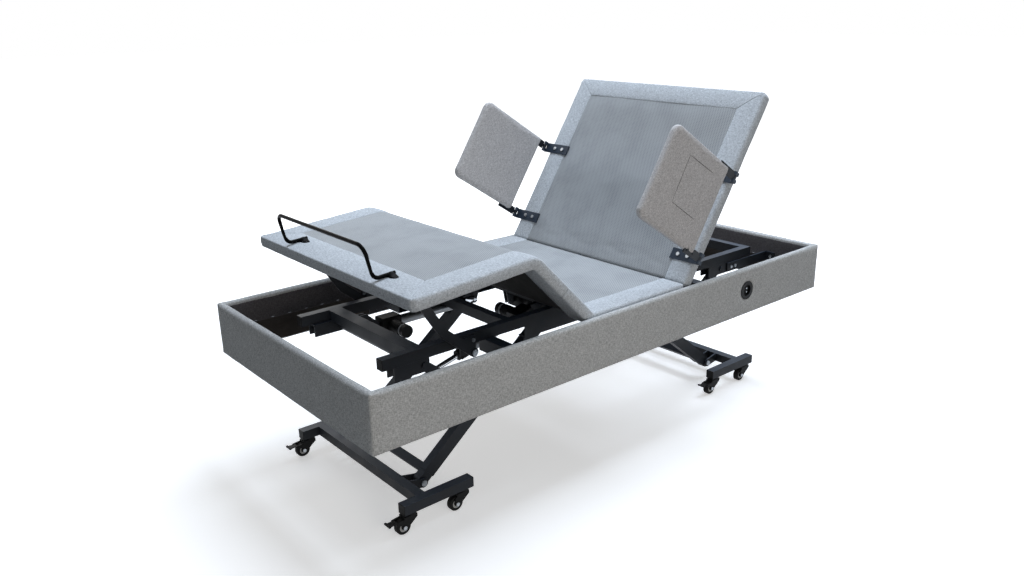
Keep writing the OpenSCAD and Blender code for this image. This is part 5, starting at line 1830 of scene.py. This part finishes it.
class FrameFinish:
    """Dresses the CAD nodes: one finish for each node, and others for some of its faces."""

    def __init__(self, frame: dict, deck: Deck) -> None:
        """Keeps the nodes and the deck's sections."""
        self.nodes: dict[str, bpy.types.Object] = frame["nodes"]
        self.deck = deck

    def faces(self, node: str) -> Faces:
        """Measures a node's faces and the solids that they belong to.

        Args:
            node: Name of the node.

        Returns:
            Its faces.
        """
        obj = self.nodes[node]
        turn = np.array(obj.matrix_world)
        spots = (points_of(obj.data) @ turn[:3, :3].T + turn[:3, 3]) / MM
        _, same = np.unique(np.round(spots * 100).astype(np.int64), axis=0, return_inverse=True)
        same = same.ravel()
        corner, starts, totals = corners_in(obj.data)
        parent = list(range(int(same.max()) + 1))

        def root(i: int) -> int:
            """Follows a point to its solid's first point.

            Args:
                i: A point.

            Returns:
                The first point of its solid.
            """
            while parent[i] != i:
                parent[i] = parent[parent[i]]
                i = parent[i]
            return i

        for start, total in zip(starts, totals):
            first = root(int(same[corner[start]]))
            for k in range(1, total):
                parent[root(int(same[corner[start + k]]))] = first
        label = np.array([root(int(same[corner[s]])) for s in starts])
        count = len(starts)
        spot = np.array([spots[corner[a : a + n]].mean(0) for a, n in zip(starts, totals)])
        size, middle, off = np.zeros((count, 3)), np.zeros((count, 3)), np.zeros(count)
        for value in np.unique(label):
            mine = label == value
            used = [corner[a : a + n] for a, n in zip(starts[mine], totals[mine])]
            own = spots[np.unique(np.concatenate(used))]
            low, high = own.min(0), own.max(0)
            size[mine], middle[mine] = high - low, (high + low) / 2
            axis = np.linalg.svd(own - own.mean(0), full_matrices=False)[2][0]
            away = spot[mine] - (high + low) / 2
            off[mine] = np.linalg.norm(away - np.outer(away @ axis, axis), axis=1)
        return Faces(spot, size, middle, off)

    def dress(self, node: str, finish: Finish, rules: Sequence[tuple[Finish, Rule]] = ()) -> None:
        """Gives a node its finish and some of its faces another.

        Args:
            node: Name of the node.
            finish: Finish of the node.
            rules: Other finishes with the test that picks their faces; the first that fits counts.
        """
        mesh = self.nodes[node].data
        mesh.materials.clear()
        mesh.materials.append(finish.material())
        index = np.zeros(len(mesh.polygons), np.int32)
        if rules:
            faces = self.faces(node)
            for k, (other, rule) in enumerate(rules, 1):
                mesh.materials.append(other.material())
                index[(index == 0) & rule(faces)] = k
        mesh.polygons.foreach_set("material_index", index)
        mesh.update()
        LOG.info("%s wears %s, and others on %d faces", node, finish.name, int((index > 0).sum()))

    def build(self) -> None:
        """Dresses every CAD node that stays in view."""
        self.dress("main_frame", FRAME_COAT, [(NYLON, is_cap)])
        self.dress("frame_hardware", ZINC)
        self.dress("control_box", NYLON)
        self.dress("power_socket", NYLON, [(ZINC, lambda f: f.size.max(1) < 9)])
        self.dress("retainer_bar", BAR_ENAMEL)
        self.dress("calf_links", FRAME_COAT)
        for name in ("back", "thigh", "calf"):
            self.dress(f"{name}_frame", FRAME_COAT)
        self.wings()
        self.lifts()
        self.casters()

    def wings(self) -> None:
        """Dresses the hinges of the wings."""
        plate_top, plate_out = 19.3, 445

        def bolt(f: Faces) -> Array:
            """Bolt heads on the hinge plates."""
            _, n = self.deck.back.local(f.spot[:, 1], f.spot[:, 2])
            return (n > plate_top) & (np.abs(f.spot[:, 0]) < plate_out)

        self.dress("wing_hinge_plates", HINGE_COAT, [(ZINC, bolt)])
        for side in ("left", "right"):
            self.dress(f"{side}_wing_arms", FRAME_COAT)

    def lifts(self) -> None:
        """Dresses the scissor legs, the bases and the actuators."""
        for end in ("foot", "head"):
            self.dress(f"{end}_short_links", FRAME_COAT)
            self.dress(f"{end}_long_legs", FRAME_COAT, [(NYLON, is_glide), (ZINC, is_pin)])
            self.dress(f"{end}_base_frame", FRAME_COAT, [(NYLON, is_cap), (ZINC, is_pin)])
        for name in ("foot_lift", "head_lift", "thigh", "back"):
            self.dress(
                f"{name}_rod", FRAME_COAT,
                [(CHROME, lambda f: (f.size[:, 1] > 60) & (f.off < 10.3)), (ZINC, is_pin)],
            )
        for name in ("lift_actuators", "thigh_actuator", "back_actuator"):
            self.dress(name, NYLON, [
                (ALUMINIUM, lambda f: f.size[:, 1] > 110),
                (BAND, lambda f: (f.size[:, 0] < 9) & (f.size[:, 1] > 30)),
            ])

    def casters(self) -> None:
        """Dresses forks, wheels and pedals."""
        for i in range(1, 9):
            low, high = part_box(f"caster_wheel_{i}")
            hub = np.array(low + high) / 2 / MM

            def around(f: Faces, hub: Array = hub) -> Array:
                """Distance of each face from the axle."""
                return np.hypot(f.spot[:, 1] - hub[1], f.spot[:, 2] - hub[2])

            def axle(f: Faces, hub: Array = hub, around: Rule = around) -> Array:
                """Bolt heads of the axle outside the fork."""
                return (around(f) < 7) & (np.abs(f.spot[:, 0] - hub[0]) > 15)

            def ring(f: Faces, around: Rule = around) -> Array:
                """The pale ring of the wheel's web."""
                return (f.size[:, 1] < 40) & (around(f) > 8.6) & (around(f) < 15.8)

            self.dress(
                f"caster_fork_{i}", NYLON,
                [(ZINC, axle), (ZINC, lambda f: (f.size[:, 0] < 16) & (f.size[:, 1] < 16))],
            )
            self.dress(
                f"caster_wheel_{i}", TYRE, [(RIM, ring), (NYLON, lambda f: f.size[:, 1] < 40)]
            )
        for i in range(1, 5):
            self.dress(f"brake_pedal_{i}", NYLON)


# ---------------------------------------------------------------- studio


@dataclass
class Studio:
    """Floor, lamps, backdrop and camera."""

    camera_mm: tuple[float, float, float] = (2290.14, -2054.86, 1521.55)
    yaw: float = 50.2539
    pitch: float = 18.2430
    roll: float = -1.1224
    lens_mm: float = 30.775

    def build(self) -> None:
        """Sets up the studio."""
        self.camera()
        self.floor()
        self.world()
        self.lamp("overhead_softbox", (-0.4, 1.3, 4.0), (0, 0, 0), 3.4, 210.0, "#e5f0ff")
        self.lamp("left_softbox", (-4.2, 0.2, 1.9), (0, -76, 0), 2.6, 44.0, "#fbfaf7")
        self.lamp("right_softbox", (3.9, -0.9, 1.1), (0, 84, 0), 2.0, 36.0, "#fff7ee")

    def camera(self) -> None:
        """Places the camera."""
        yaw, pitch, roll = (math.radians(v) for v in (self.yaw, self.pitch, self.roll))
        level = math.cos(pitch)
        ahead = Vector((-math.sin(yaw) * level, math.cos(yaw) * level, -math.sin(pitch)))
        right = Vector((math.cos(yaw), math.sin(yaw), 0))
        up = right.cross(ahead)
        across = right * math.cos(roll) + up * math.sin(roll)
        upward = up * math.cos(roll) - right * math.sin(roll)
        lens = bpy.data.cameras.new("studio_camera")
        lens.lens, lens.sensor_width = self.lens_mm, 36.0
        lens.clip_end = 60.0
        cam = bpy.data.objects.new("studio_camera", lens)
        turn = Matrix((across, upward, -ahead)).transposed().to_4x4()
        cam.matrix_world = Matrix.Translation(Vector(self.camera_mm) * MM) @ turn
        bpy.context.scene.collection.objects.link(cam)
        bpy.context.scene.camera = cam

    def floor(self) -> None:
        """Makes a pale floor that keeps the shadow and shows white to the eye."""
        size = 30.0
        obj = mesh_piece(
            "studio_floor",
            np.array([(-size, -size, 0), (size, -size, 0), (size, size, 0), (-size, size, 0)]),
            [(0, 1, 2, 3)], NYLON,
        )
        sh = Shader(bpy.data.materials.new("pale_studio_floor"))
        spot = sh.add("TexCoord")
        far = sh.add("VectorMath", {0: spot.outputs["Object"]}, operation="LENGTH")
        level = sh.add("MapRange", {0: far.outputs["Value"], 1: 1.2, 2: 4.5, 3: 0.45, 4: 1.0})
        pale = sh.add("BsdfDiffuse", {"Color": linear("#f4f4f4")})
        glow = sh.add("Emission", {"Color": (1.0, 1.0, 1.0, 1.0), "Strength": level})
        shown = sh.add("AddShader", {0: pale, 1: glow})
        dim = sh.add("BsdfDiffuse", {"Color": linear("#8c8c8c")})
        mixed = sh.add("MixShader", {0: self.seen(sh), 1: dim, 2: shown})
        sh.add("OutputMaterial", {"Surface": mixed})
        obj.data.materials.clear()
        obj.data.materials.append(sh.owner)

    def seen(self, sh: Shader) -> bpy.types.Node:
        """Tells rays from the eye, straight, mirrored or through a clear piece, from others.

        Args:
            sh: The node tree.

        Returns:
            A node that gives 1 for such a ray and 0 for others.
        """
        path = sh.add("LightPath")
        seen: bpy.types.Node | bpy.types.NodeSocket = path.outputs["Is Camera Ray"]
        for kind in ("Glossy", "Transmission"):
            ray = path.outputs[f"Is {kind} Ray"]
            seen = sh.add("Math", {0: seen, 1: ray}, operation="MAXIMUM")
        return seen

    def world(self) -> None:
        """Even grey light from all round, white to the eye."""
        world = bpy.data.worlds.new("studio_world")
        bpy.context.scene.world = world
        sh = Shader(world)
        light = sh.add("Background", {0: linear("#e6ecf2"), 1: 0.24})
        white = sh.add("Background", {0: (1.0, 1.0, 1.0, 1.0), 1: 1.0})
        mixed = sh.add("MixShader", {0: self.seen(sh), 1: light, 2: white})
        sh.add("OutputWorld", {0: mixed})

    def lamp(
        self, name: str, spot: tuple[float, float, float], turn: tuple[float, float, float],
        size: float, power: float, colour: str,
    ) -> None:
        """Hangs a square softbox.

        Args:
            name: Its name.
            spot: Where it hangs, in metres.
            turn: Its rotation in degrees.
            size: Edge length in metres.
            power: Watts.
            colour: Colour of its light.
        """
        data = bpy.data.lights.new(name, "AREA")
        data.size, data.energy = size, power
        data.color = linear(colour)[:3]
        obj = bpy.data.objects.new(name, data)
        obj.location = spot
        obj.rotation_euler = [math.radians(v) for v in turn]
        bpy.context.scene.collection.objects.link(obj)


def main() -> None:
    """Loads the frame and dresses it."""
    logging.basicConfig(level=logging.INFO, format="%(name)s: %(message)s")
    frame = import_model()
    scene = bpy.context.scene
    scene.view_settings.view_transform = "Standard"
    Studio().build()
    deck = Deck(frame)
    FrameFinish(frame, deck).build()
    Surround().build()
    DeckCovers(deck).build()
    Wings(deck).build()


if __name__ == "__main__":
    main()
